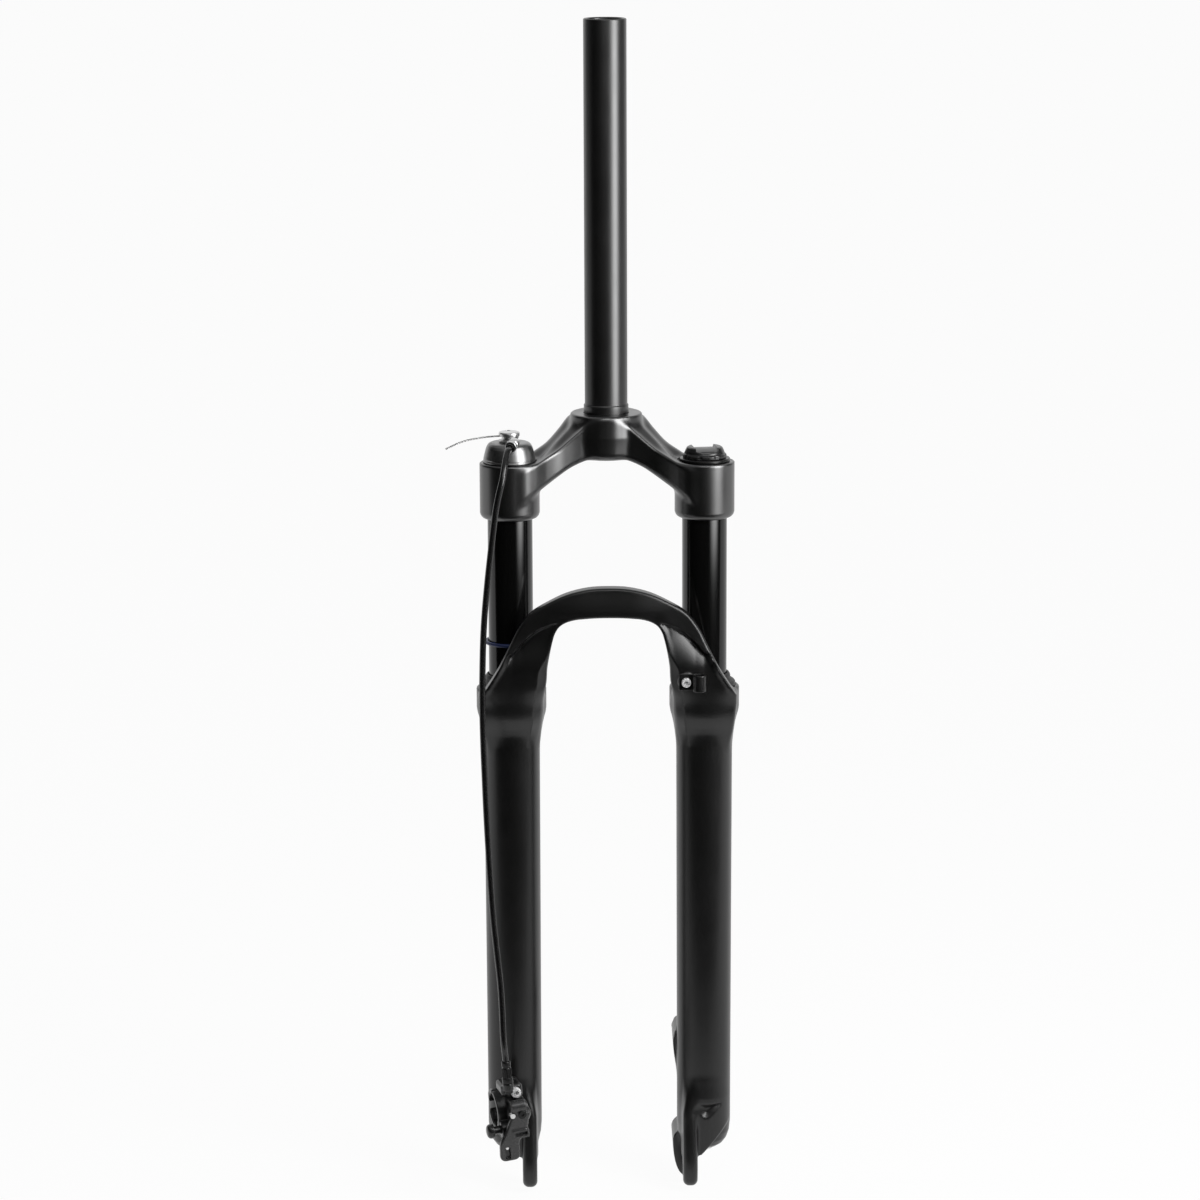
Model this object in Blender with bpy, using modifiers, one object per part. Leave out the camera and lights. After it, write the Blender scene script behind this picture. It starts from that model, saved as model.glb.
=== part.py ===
"""Mountain-bike suspension fork with a remote lockout, as separate parts.

Metres. The origin is on the steerer axis at the crown race seat. +Z is up, -Y is ahead,
+X is the rider's left. The air spring is in the left leg, the damper in the right leg.
"""

import math

import bmesh
import bpy
from mathutils import Vector

# Fits and facets
SEAT_GAP = 0.0003
SLIDE_GAP = 0.0002
TUBE_SIDES = 20
ROD_SIDES = 12
SCREW_SIDES = 8

# Layout of the fork
LEG_SPACING = 0.130
CROWN_OFFSET = 0.025
AXLE_OFFSET = 0.017
AXLE_TO_CROWN = 0.5195
TRAVEL = 0.100
BOTTOM_CLEARANCE = 0.0064

# Steerer
STEERER_OD = 0.0286
STEERER_WALL = 0.0023
STEERER_LENGTH = 0.262
RACE_SEAT_STEP = 0.0007
RACE_SEAT_HEIGHT = 0.0055
RACE_SEAT_SINK = 0.0012
TUBE_EDGE = 0.0006

# Crown
BOSS_RADIUS = 0.0240
BOSS_DEPTH = 0.0302
CROWN_DROP = 0.0290
CLAMP_WALL = 0.0050
CLAMP_HEIGHT = 0.0376
CLAMP_FILLET = 0.0040
SPOT_FACE_GAP = 0.0008

# Stanchions
STANCHION_OD = 0.0300
STANCHION_WALL = 0.0022
STANCHION_RECESS = 0.0025
SEAL_HEAD_SETBACK = 0.0010
SAG_RING_RADIUS = 0.0013
SAG_RING_RISE = 0.022

# Lower casting
BUSHING_WALL = 0.0012
BUSHING_LENGTH = 0.020
LEG_WALL = 0.0022
LEG_TAPER = 0.0006
COLLAR_WALL = 0.0042
COLLAR_HEIGHT = 0.015
COLLAR_BLEND = 0.015
WIPER_WALL = 0.0040
WIPER_LIP = 0.0090
WIPER_FLANGE = 0.0019
WIPER_SINK = 0.0004
WIPER_DEPTH = 0.0078
FOAM_DEPTH = 0.0076
FOOT_DROP = 0.0112
FOOT_THICKNESS = 0.024
FOOT_RECESS = 0.0060
SHROUD_LEAD = 0.0021
SHROUD_TURN_DEG = 7
POCKET_WALL = 0.0008
BUMPER_LENGTH = 0.019

# Arch
ARCH_RISE = 0.0730
ARCH_DEPTH = 0.0200
ARCH_FRONT = 0.0350
ARCH_BACK = 0.0215

# Dropouts
HUB_WIDTH = 0.100
DROPOUT_THICKNESS = 0.010
AXLE_SLOT = 0.0096
DROPOUT_RADIUS = 0.0140
TIP_DROP = 0.0106
BLADE_RISE = 0.062
NUT_RECESS_RADIUS = 0.0105
NUT_RECESS_DEPTH = 0.0014

# Disc brake posts
POST_SPACING = 0.074
POST_HEIGHT = 0.0125
POST_INBOARD = 0.0132
POST_RADIUS = 0.0078
POST_REACH = 0.034
POST_TAIL = 0.0130
POST_BORE = 0.0026

# Air spring and damper inside the legs
ROD_RADIUS = 0.0050
PISTON_LENGTH = 0.012
PISTON_RISE = 0.0240
SEAL_HEAD_LENGTH = 0.016
SPINDLE_RADIUS = 0.0025
STEM_RADIUS = 0.0046
VALVE_DROP = 0.1070
VALVE_LENGTH = 0.014
FOOT_BOLT_RADIUS = 0.0030

# Lockout cap, spool and cable
DOME_RADIUS = 0.0176
DOME_HEIGHT = 0.0135
CAP_PLUG = 0.019
SPOOL_RADIUS = 0.0070
SPOOL_HEIGHT = 0.0068
GROOVE_RADIUS = 0.0051
GROOVE_HEIGHT = 0.0030
PINCH_RADIUS = 0.0014
PINCH_LENGTH = 0.0019
WIRE_RADIUS = 0.0006
WIRE_RUN = 0.0060
WIRE_START_DEG = -15.6
WIRE_LAP_DEG = 32.0
WIRE_GRIP_DEG = 75.0
WIRE_LEAVE_DEG = 101.5
WIRE_SLOPE_DEG = 12.0
STOP_RADIUS = 0.0039
STOP_BACK = 0.0097
STOP_LENGTH = 0.0086
STOP_SEAT = 0.0050
FERRULE_WALL = 0.00045
FERRULE_LENGTH = 0.0070
HOUSING_RADIUS = 0.0021

# Remote, in its own frame: clamp axis along x, lever pivot along y, cable up z
REMOTE_PLACE = (-0.0080, -0.0390, 0.0520)
REMOTE_YAW_DEG = 15.0
REMOTE_ROLL_DEG = -5.0
BAR_RADIUS = 0.0112
CLAMP_RING_WALL = 0.0032
CLAMP_RING_WIDTH = 0.014
BARREL_X = -0.0005
LEVER_PLANE = -0.0243
LEVER_THICKNESS = 0.0055
LEVER_RADIUS = 0.0100
LEVER_HEIGHT = 0.0030
DRUM_RADIUS = 0.0075

# Places that follow from the sizes above
LEG_X = LEG_SPACING / 2
LEG_Y = -CROWN_OFFSET
AXLE_Y = LEG_Y - AXLE_OFFSET
AXLE_Z = -AXLE_TO_CROWN
CLAMP_TOP = -CROWN_DROP
CLAMP_BOTTOM = CLAMP_TOP - CLAMP_HEIGHT
WIPER_TOP = CLAMP_BOTTOM - BOTTOM_CLEARANCE - TRAVEL
COLLAR_TOP = WIPER_TOP - WIPER_LIP
FOOT_Z = AXLE_Z + FOOT_DROP
LEG_FLOOR = FOOT_Z + FOOT_THICKNESS
STANCHION_TOP = CLAMP_TOP - STANCHION_RECESS
STANCHION_END = LEG_FLOOR + BUMPER_LENGTH + TRAVEL + 0.0013
STANCHION_R = STANCHION_OD / 2
STANCHION_BORE = STANCHION_R - STANCHION_WALL
CLAMP_R = STANCHION_R + CLAMP_WALL
BUSHING_INNER = STANCHION_R + SLIDE_GAP
BUSHING_OUTER = BUSHING_INNER + BUSHING_WALL
LEG_BORE = BUSHING_OUTER + SEAT_GAP
LEG_R = LEG_BORE + LEG_WALL
LEG_R_LOW = LEG_R - LEG_TAPER
WIPER_R = STANCHION_R + WIPER_WALL
WIPER_SEAT_R = WIPER_R + SEAT_GAP
COLLAR_R = WIPER_SEAT_R + COLLAR_WALL
SEAL_HEAD_LOW = STANCHION_END + SEAL_HEAD_SETBACK
SEAL_HEAD_TOP = SEAL_HEAD_LOW + SEAL_HEAD_LENGTH
PISTON_LOW = SEAL_HEAD_TOP + PISTON_RISE
PLUG_R = STANCHION_BORE - SEAT_GAP
HUB_HALF = HUB_WIDTH / 2
DOME_TOP = CLAMP_TOP + DOME_HEIGHT
SPOOL_BOTTOM = DOME_TOP + SEAT_GAP
SPOOL_TOP = SPOOL_BOTTOM + SPOOL_HEIGHT
GROOVE_Z = SPOOL_BOTTOM + GROOVE_HEIGHT
VALVE_TOP = CLAMP_TOP - VALVE_DROP
VALVE_LOW = VALVE_TOP - VALVE_LENGTH
LEFT = (LEG_X, LEG_Y)
RIGHT = (-LEG_X, LEG_Y)

# Finishes as colour, roughness, metallic
FINISHES = {
    "satin_black": ((0.016, 0.016, 0.017, 1), 0.42, 0.0),
    "matte_black": ((0.021, 0.021, 0.022, 1), 0.60, 0.0),
    "gloss_black": ((0.008, 0.008, 0.009, 1), 0.10, 0.3),
    "black_metal": ((0.030, 0.030, 0.033, 1), 0.30, 0.8),
    "steel": ((0.55, 0.55, 0.56, 1), 0.28, 1.0),
    "aluminium": ((0.62, 0.62, 0.63, 1), 0.35, 1.0),
    "plastic": ((0.020, 0.020, 0.020, 1), 0.45, 0.0),
    "rubber": ((0.018, 0.018, 0.018, 1), 0.75, 0.0),
    "foam": ((0.06, 0.06, 0.055, 1), 0.95, 0.0),
    "bronze": ((0.42, 0.30, 0.16, 1), 0.40, 1.0),
    "navy_rubber": ((0.012, 0.020, 0.075, 1), 0.50, 0.0),
}

for old in list(bpy.data.objects):
    bpy.data.objects.remove(old, do_unlink=True)

PARTS = bpy.data.collections.new("suspension_fork")
CUTTERS = bpy.data.collections.new("cutters")
bpy.context.scene.collection.children.link(PARTS)
bpy.context.scene.collection.children.link(CUTTERS)


def coat(obj, finish):
    """Give a part a material of its own in the named finish."""
    colour, roughness, metallic = FINISHES[finish]
    material = bpy.data.materials.new(obj.name + "_finish")
    material.use_nodes = True
    shader = material.node_tree.nodes["Principled BSDF"]
    shader.inputs["Base Color"].default_value = colour
    shader.inputs["Roughness"].default_value = roughness
    shader.inputs["Metallic"].default_value = metallic
    material.diffuse_color = colour
    obj.data.materials.clear()
    obj.data.materials.append(material)


def add(name, data, finish=None):
    """Link new data as a part, or as a cutter when it has no finish."""
    obj = bpy.data.objects.new(name, data)
    if finish:
        PARTS.objects.link(obj)
        coat(obj, finish)
    else:
        CUTTERS.objects.link(obj)
        obj.hide_render = True
        obj.display_type = "WIRE"
    return obj


def place(obj, location=(0, 0, 0), axis=None, turn=None, parent=None):
    """Put an object in its place, with its own z along an axis or turned by angles."""
    obj.location = location
    if axis is not None:
        obj.rotation_euler = Vector(axis).to_track_quat("Z", "Y").to_euler()
    if turn is not None:
        obj.rotation_euler = turn
    if parent is not None:
        obj.parent = parent
    return obj


def combine(target, tool, operation):
    step = target.modifiers.new(tool.name, "BOOLEAN")
    step.operation = operation
    step.solver = "EXACT"
    step.object = tool
    return target


def cut(target, *tools):
    for tool in tools:
        combine(target, tool, "DIFFERENCE")
    return target


def join(target, *tools):
    for tool in tools:
        combine(target, tool, "UNION")
    return target


def soften(obj, width, segments=1, angle_deg=35):
    edge = obj.modifiers.new("soft_edges", "BEVEL")
    edge.width = width
    edge.segments = segments
    edge.limit_method = "ANGLE"
    edge.angle_limit = math.radians(angle_deg)
    return obj


def turned(name, profile, finish=None, sides=TUBE_SIDES):
    """A turned shape from (radius, z) points that run down the outer side.

    A profile that starts and ends on the axis is left open, any other one is closed.
    """
    solid = profile[0][0] == 0 and profile[-1][0] == 0
    count = len(profile)
    edges = [(i, i + 1) for i in range(count - 1)]
    if not solid:
        edges.append((count - 1, 0))
    mesh = bpy.data.meshes.new(name)
    mesh.from_pydata([(radius, 0, z) for radius, z in profile], edges, [])
    obj = add(name, mesh, finish)
    spin = obj.modifiers.new("turn", "SCREW")
    spin.axis = "Z"
    spin.angle = math.tau
    spin.steps = sides
    spin.render_steps = sides
    spin.use_merge_vertices = True
    spin.merge_threshold = 0.00001
    spin.use_smooth_shade = False
    return obj


def rod(name, radius, low, high, finish=None, sides=ROD_SIDES):
    return turned(name, [(0, high), (radius, high), (radius, low), (0, low)], finish, sides)


def ring(name, inner, outer, low, high, finish=None, sides=TUBE_SIDES):
    return turned(name, [(outer, high), (outer, low), (inner, low), (inner, high)], finish, sides)


def box(name, low, high, finish=None):
    mesh = bpy.data.meshes.new(name)
    shape = bmesh.new()
    bmesh.ops.create_cube(shape, size=1)
    for vert in shape.verts:
        for k in range(3):
            vert.co[k] = low[k] + (vert.co[k] + 0.5) * (high[k] - low[k])
    shape.to_mesh(mesh)
    shape.free()
    return add(name, mesh, finish)


def curve_mesh(name, curve, flat):
    """The closed mesh of a filled or bevelled curve, with its caps welded on."""
    holder = bpy.data.objects.new(name + "_curve", curve)
    bpy.context.scene.collection.objects.link(holder)
    graph = bpy.context.evaluated_depsgraph_get()
    mesh = bpy.data.meshes.new_from_object(holder.evaluated_get(graph))
    bpy.data.objects.remove(holder)
    shape = bmesh.new()
    shape.from_mesh(mesh)
    bmesh.ops.remove_doubles(shape, verts=shape.verts, dist=0.000002)
    if flat:
        bmesh.ops.dissolve_limit(
            shape, angle_limit=math.radians(1), verts=shape.verts, edges=shape.edges
        )
    bmesh.ops.recalc_face_normals(shape, faces=shape.faces)
    shape.to_mesh(mesh)
    shape.free()
    mesh.name = name
    return mesh


def spline_of(curve, points, cyclic):
    spline = curve.splines.new("POLY")
    spline.points.add(len(points) - 1)
    for point, co in zip(spline.points, points):
        point.co = (*co, 1)
    spline.use_cyclic_u = cyclic


def plate(name, outline, thickness, finish=None):
    """A flat outline in its own x and y, as thick as said along its own z."""
    curve = bpy.data.curves.new(name, "CURVE")
    curve.dimensions = "2D"
    curve.fill_mode = "BOTH"
    curve.extrude = thickness / 2
    spline_of(curve, [(x, y, 0) for x, y in outline], True)
    return add(name, curve_mesh(name, curve, True), finish)


def tube(name, points, radius, finish, resolution=2):
    curve = bpy.data.curves.new(name, "CURVE")
    curve.dimensions = "3D"
    curve.bevel_depth = radius
    curve.bevel_resolution = resolution
    curve.use_fill_caps = True
    spline_of(curve, points, False)
    return add(name, curve_mesh(name, curve, False), finish)


def loft(name, rings, finish=None, open_start=False):
    """Faces between closed rings of equal count, capped at the ends."""
    mesh = bpy.data.meshes.new(name)
    shape = bmesh.new()
    rows = [[shape.verts.new(co) for co in row] for row in rings]
    count = len(rows[0])
    for one, two in zip(rows, rows[1:]):
        for i in range(count):
            shape.faces.new((one[i], one[(i + 1) % count], two[(i + 1) % count], two[i]))
    shape.faces.new(rows[-1])
    if not open_start:
        shape.faces.new(list(reversed(rows[0])))
    bmesh.ops.recalc_face_normals(shape, faces=shape.faces)
    shape.to_mesh(mesh)
    shape.free()
    return add(name, mesh, finish)


def mirrored(obj):
    """Mirror a half across x, joined at the middle plane."""
    half = obj.modifiers.new("mirror", "MIRROR")
    half.use_bisect_axis[0] = True
    half.use_bisect_flip_axis[0] = False
    half.use_clip = True
    half.merge_threshold = 0.00005
    return obj


def arc(centre, radius, start_deg, end_deg, steps):
    found = []
    for i in range(steps + 1):
        angle = math.radians(start_deg + (end_deg - start_deg) * i / steps)
        found.append((centre[0] + radius * math.cos(angle), centre[1] + radius * math.sin(angle)))
    return found


def smooth_route(points, per_span):
    """A smooth open curve through hand-chosen points."""
    ends = [2 * points[0] - points[1], *points, 2 * points[-1] - points[-2]]
    found = []
    for a, b, c, d in zip(ends, ends[1:], ends[2:], ends[3:]):
        for i in range(per_span):
            t = i / per_span
            found.append(
                0.5 * (2 * b + (c - a) * t + (2 * a - 5 * b + 4 * c - d) * t * t
                       + (3 * b - a - 3 * c + d) * t * t * t)
            )
    return [*found, points[-1]]


def coil(name, radius, wire, turns, low, high, finish, per_turn=8):
    """A helix from low to high; its least gap between turns is measured and printed."""
    count = int(turns * per_turn)
    points = []
    for i in range(count + 1):
        angle = math.tau * turns * i / count
        height = low + wire + (high - low - 2 * wire) * i / count
        points.append(Vector((radius * math.cos(angle), radius * math.sin(angle), height)))
    apart = per_turn * 6 // 10
    least = min(
        (points[j] - points[i]).length
        for i in range(count + 1)
        for j in range(i + apart, count + 1)
    )
    print("coil", name, "least gap between turns, mm:", round((least - 2 * wire) * 1000, 2))
    return tube(name, points, wire, finish, 1)


def hex_socket(name, screw, width, low, high, parent=None, location=(0, 0, 0), axis=None):
    socket = rod(name, width / math.sqrt(3), low, high, None, 6)
    place(socket, location, axis, None, parent)
    return cut(screw, socket)


def screw(name, head_r, head_h, shank_r, length, finish):
    """A socket screw with its head from z = 0 up and its shank down."""
    edge = head_r * 0.12
    profile = [
        (0, head_h),
        (head_r - edge, head_h),
        (head_r, head_h - edge),
        (head_r, 0),
        (shank_r, 0),
        (shank_r, -length),
        (0, -length),
    ]
    return turned(name, profile, finish, SCREW_SIDES)


def steerer():
    outer = STEERER_OD / 2
    inner = outer - STEERER_WALL
    seat = outer + RACE_SEAT_STEP
    step = SEAT_GAP - RACE_SEAT_SINK
    low = -BOSS_DEPTH + 0.002
    profile = [
        (outer - TUBE_EDGE, STEERER_LENGTH),
        (outer, STEERER_LENGTH - TUBE_EDGE),
        (outer, RACE_SEAT_HEIGHT + seat - outer),
        (seat, RACE_SEAT_HEIGHT),
        (seat, step),
        (outer, step),
        (outer, low),
        (inner, low),
        (inner, STEERER_LENGTH - TUBE_EDGE),
        (inner + TUBE_EDGE, STEERER_LENGTH),
    ]
    turned("steerer_tube", profile, "satin_black")


def crown_section(x, front, back, floor, low_ridge, valley, high_ridge):
    """One section of a crown arm: a low front ridge, a scooped top and a high back ridge."""
    depth = back - front
    corners = [
        (front + 0.004, floor),
        (front + 0.001, floor + 0.002),
        (front, floor + 0.006),
        (front, low_ridge - 0.003),
        (front + 0.0012, low_ridge - 0.0008),
        (front + 0.0040, low_ridge),
        (front + depth * 0.36, valley),
        (front + depth * 0.62, valley + 0.001),
        (back - 0.0050, high_ridge),
        (back - 0.0012, high_ridge - 0.0008),
        (back, high_ridge - 0.0035),
        (back, floor + 0.006),
        (back - 0.001, floor + 0.002),
        (back - 0.004, floor),
    ]
    return [Vector((x, y, z)) for y, z in corners]


def crown():
    span = LEG_X / 0.065
    stations = [
        (0.000, -0.0260, 0.0235, -0.0288, -0.0060, -0.0080, -0.0020),
        (0.010, -0.0260, 0.0220, -0.0288, -0.0060, -0.0080, -0.0020),
        (0.018, -0.0280, 0.0180, -0.0310, -0.0090, -0.0110, -0.0022),
        (0.025, -0.0310, 0.0130, -0.0343, -0.0145, -0.0160, -0.0038),
        (0.032, -0.0350, 0.0075, -0.0388, -0.0210, -0.0222, -0.0115),
        (0.040, -0.0395, 0.0020, -0.0440, -0.0275, -0.0292, -0.0196),
        (0.048, -0.0425, -0.0035, -0.0490, -0.0312, -0.0335, -0.0245),
        (0.055, -0.0440, -0.0070, -0.0532, -0.0342, -0.0360, -0.0285),
        (0.060, -0.0449, -0.0100, -0.0585, -0.0360, -0.0375, -0.0310),
        (0.064, -0.0453, -0.0120, -0.0645, -0.0370, -0.0380, -0.0330),
    ]
    shift = -0.025 - LEG_Y
    rings = []
    for x, front, back, floor, low_ridge, valley, high_ridge in stations:
        share = shift * x / 0.055
        rings.append(
            crown_section(
                x * span, front - share, back - share, floor, low_ridge, valley, high_ridge
            )
        )
    arms = mirrored(loft("crown", rings, "satin_black", open_start=True))
    boss = turned(
        "crown_boss",
        [
            (0, 0),
            (BOSS_RADIUS - 0.0008, 0),
            (BOSS_RADIUS, -0.0008),
            (BOSS_RADIUS + 0.0006, -0.006),
            (BOSS_RADIUS + 0.0012, -0.014),
            (BOSS_RADIUS - 0.0005, BOSS_DEPTH * -0.80),
            (BOSS_RADIUS - 0.0040, -BOSS_DEPTH),
            (0, -BOSS_DEPTH),
        ],
    )
    join(arms, boss)
    fillet = CLAMP_FILLET
    for side, (x, y) in (("left", LEFT), ("right", RIGHT)):
        clamp = turned(
            "crown_clamp_" + side,
            [
                (0, CLAMP_TOP),
                (CLAMP_R - 0.0008, CLAMP_TOP),
                (CLAMP_R, CLAMP_TOP - 0.0008),
                (CLAMP_R, CLAMP_BOTTOM + fillet),
                (CLAMP_R - fillet * 0.293, CLAMP_BOTTOM + fillet * 0.293),
                (CLAMP_R - fillet, CLAMP_BOTTOM),
                (0, CLAMP_BOTTOM),
            ],
        )
        join(arms, place(clamp, (x, y, 0)))
    bore = STEERER_OD / 2 + SEAT_GAP
    seat = bore + RACE_SEAT_STEP
    through = BOSS_DEPTH + 0.05
    steerer_bore = turned(
        "crown_steerer_bore",
        [
            (0, 0.03),
            (seat, 0.03),
            (seat, -RACE_SEAT_SINK),
            (bore, -RACE_SEAT_SINK),
            (bore, -through),
            (0, -through),
        ],
    )
    cut(arms, steerer_bore)
    for side, (x, y) in (("left", LEFT), ("right", RIGHT)):
        face = CLAMP_TOP - 0.0001
        spot = DOME_RADIUS + SPOT_FACE_GAP
        bore = turned(
            "crown_stanchion_bore_" + side,
            [
                (0, 0.01),
                (spot, 0.01),
                (spot, face),
                (STANCHION_R + SEAT_GAP, face),
                (STANCHION_R + SEAT_GAP, CLAMP_BOTTOM - 0.01),
                (0, CLAMP_BOTTOM - 0.01),
            ],
        )
        cut(arms, place(bore, (x, y, 0)))


def stanchions():
    profile = [
        (STANCHION_R, STANCHION_TOP),
        (STANCHION_R, STANCHION_END + TUBE_EDGE),
        (STANCHION_R - TUBE_EDGE, STANCHION_END),
        (STANCHION_BORE, STANCHION_END),
        (STANCHION_BORE, STANCHION_TOP),
    ]
    place(turned("stanchion_left", profile, "gloss_black"), (*LEFT, 0))
    place(turned("stanchion_right", profile, "gloss_black"), (*RIGHT, 0))
    major = STANCHION_R + SLIDE_GAP + SAG_RING_RADIUS
    band = arc((major, 0), SAG_RING_RADIUS, 180, -120, 5)
    place(turned("sag_ring", band, "navy_rubber"), (*RIGHT, WIPER_TOP + SAG_RING_RISE))


def seal_head(side, name, spring_name, spring_turns):
    x, y = side
    bore = ROD_RADIUS + SLIDE_GAP
    head = turned(
        name,
        [
            (PLUG_R - 0.0006, SEAL_HEAD_TOP),
            (PLUG_R, SEAL_HEAD_TOP - 0.0006),
            (PLUG_R, SEAL_HEAD_LOW),
            (bore, SEAL_HEAD_LOW),
            (bore, SEAL_HEAD_TOP),
        ],
        "aluminium",
        ROD_SIDES,
    )
    place(head, (x, y, 0))
    spring = coil(
        spring_name,
        ROD_RADIUS + 0.0022,
        0.0009,
        spring_turns,
        SEAL_HEAD_TOP + SEAT_GAP,
        PISTON_LOW - SEAT_GAP,
        "steel",
    )
    place(spring, (x, y, 0))


def piston(side, name, band_name, band_finish):
    """A piston that caps its rod, with a band in its groove."""
    x, y = side
    top = PISTON_LOW + PISTON_LENGTH
    bore = ROD_RADIUS + SEAT_GAP
    groove_low = PISTON_LOW + 0.0040
    groove_high = PISTON_LOW + 0.0080
    groove_r = PLUG_R - 0.0025
    body = turned(
        name,
        [
            (0, top),
            (PLUG_R - 0.0008, top),
            (PLUG_R, top - 0.0008),
            (PLUG_R, groove_high),
            (groove_r, groove_high),
            (groove_r, groove_low),
            (PLUG_R, groove_low),
            (PLUG_R, PISTON_LOW),
            (bore, PISTON_LOW),
            (bore, PISTON_LOW + 0.0083),
            (0, PISTON_LOW + 0.0083),
        ],
        "aluminium",
        ROD_SIDES,
    )
    place(body, (x, y, 0))
    band = ring(
        band_name,
        groove_r + SEAT_GAP,
        PLUG_R + SEAT_GAP / 3,
        groove_low + SEAT_GAP,
        groove_high - SEAT_GAP,
        band_finish,
        ROD_SIDES,
    )
    place(band, (x, y, 0))


def leg_rod(side, name):
    x, y = side
    top = PISTON_LOW + 0.008
    low = LEG_FLOOR + SEAT_GAP
    bore = FOOT_BOLT_RADIUS + SEAT_GAP
    shaft = turned(
        name,
        [
            (0, top),
            (ROD_RADIUS - 0.0005, top),
            (ROD_RADIUS, top - 0.0005),
            (ROD_RADIUS, low),
            (bore, low),
            (bore, low + 0.022),
            (0, low + 0.022),
        ],
        "steel",
        ROD_SIDES,
    )
    place(shaft, (x, y, 0))


def air_side():
    x, y = LEFT
    flange_top = CLAMP_TOP + SEAT_GAP + 0.0016
    well = flange_top - 0.0070
    plug_low = CLAMP_TOP - CAP_PLUG
    stem = 0.00385
    cap = turned(
        "air_top_cap",
        [
            (DOME_RADIUS - 0.0011, flange_top),
            (DOME_RADIUS - 0.0006, flange_top - 0.0005),
            (DOME_RADIUS - 0.0006, CLAMP_TOP + SEAT_GAP),
            (PLUG_R, CLAMP_TOP + SEAT_GAP),
            (PLUG_R, plug_low),
            (stem + SEAT_GAP, plug_low),
            (stem + SEAT_GAP, well),
            (0.0088, well),
            (0.0088, flange_top),
        ],
        "black_metal",
    )
    place(cap, (x, y, 0))
    top = flange_top + 0.0030
    core = turned(
        "air_valve",
        [
            (0, top - 0.0012),
            (0.0008, top - 0.0012),
            (0.0008, top - 0.0060),
            (0.0024, top - 0.0060),
            (0.0024, top),
            (stem - 0.0004, top),
            (stem, top - 0.0004),
            (stem, plug_low + 0.003),
            (0, plug_low + 0.003),
        ],
        "aluminium",
        ROD_SIDES,
    )
    place(core, (x, y, 0))
    seat = flange_top + SEAT_GAP
    knob_top = seat + 0.0072
    face = knob_top - 0.0022
    knob = turned(
        "valve_cap",
        [
            (0, face),
            (0.0085, face),
            (0.0089, knob_top - 0.0002),
            (0.0108, knob_top),
            (0.0118, knob_top - 0.0006),
            (0.0130, knob_top - 0.0028),
            (0.0146, knob_top - 0.0044),
            (0.0146, seat),
            (0.0084, seat),
            (0.0084, seat - 0.0050),
            (0.0045, seat - 0.0050),
            (0.0045, top + 0.0005),
            (0, top + 0.0005),
        ],
        "plastic",
    )
    place(knob, (x, y, 0))
    slot = box("valve_cap_slot", (-0.0072, -0.020, face), (0.0072, 0.020, knob_top + 0.002))
    cut(knob, place(slot, (x, y, 0)))
    for i in range(8):
        angle = math.tau * (i + 0.5) / 8
        grip = rod("valve_cap_grip_%d" % i, 0.0024, seat - 0.002, knob_top + 0.002, None, 10)
        reach = 0.0160
        place(grip, (x + reach * math.cos(angle), y + reach * math.sin(angle), 0))
        cut(knob, grip)
    seal_head(LEFT, "air_seal_head", "negative_spring", 5)
    piston(LEFT, "air_piston", "air_piston_seal", "rubber")
    leg_rod(LEFT, "air_shaft")
    low = LEG_FLOOR + SEAT_GAP
    bumper = []
    for i in range(3):
        foot = low + BUMPER_LENGTH * (2 - i) / 3
        bumper.append((0.0100, foot + BUMPER_LENGTH * 0.32))
        bumper.append((0.0115, foot + BUMPER_LENGTH * 0.16))
    bumper += [(0.0100, low), (ROD_RADIUS + SEAT_GAP, low)]
    bumper += [(ROD_RADIUS + SEAT_GAP, low + BUMPER_LENGTH * 0.99)]
    place(turned("bottom_out_bumper", bumper, "rubber", ROD_SIDES), (x, y, 0))


def wire_at(angle_deg):
    angle = math.radians(angle_deg)
    x, y = RIGHT
    return Vector((x + WIRE_RUN * math.cos(angle), y + WIRE_RUN * math.sin(angle), GROOVE_Z))


def wire_arc(start_deg, end_deg):
    steps = 4
    return [wire_at(start_deg + (end_deg - start_deg) * i / steps) for i in range(steps + 1)]


def wire_exit():
    """Where the wire meets the spool, and the way it runs out to the cable stop."""
    start = wire_at(WIRE_START_DEG)
    across = math.radians(WIRE_START_DEG - 90)
    drop = math.radians(WIRE_SLOPE_DEG)
    flat = math.cos(drop)
    way = Vector((math.cos(across) * flat, math.sin(across) * flat, -math.sin(drop)))
    return start, way


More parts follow.
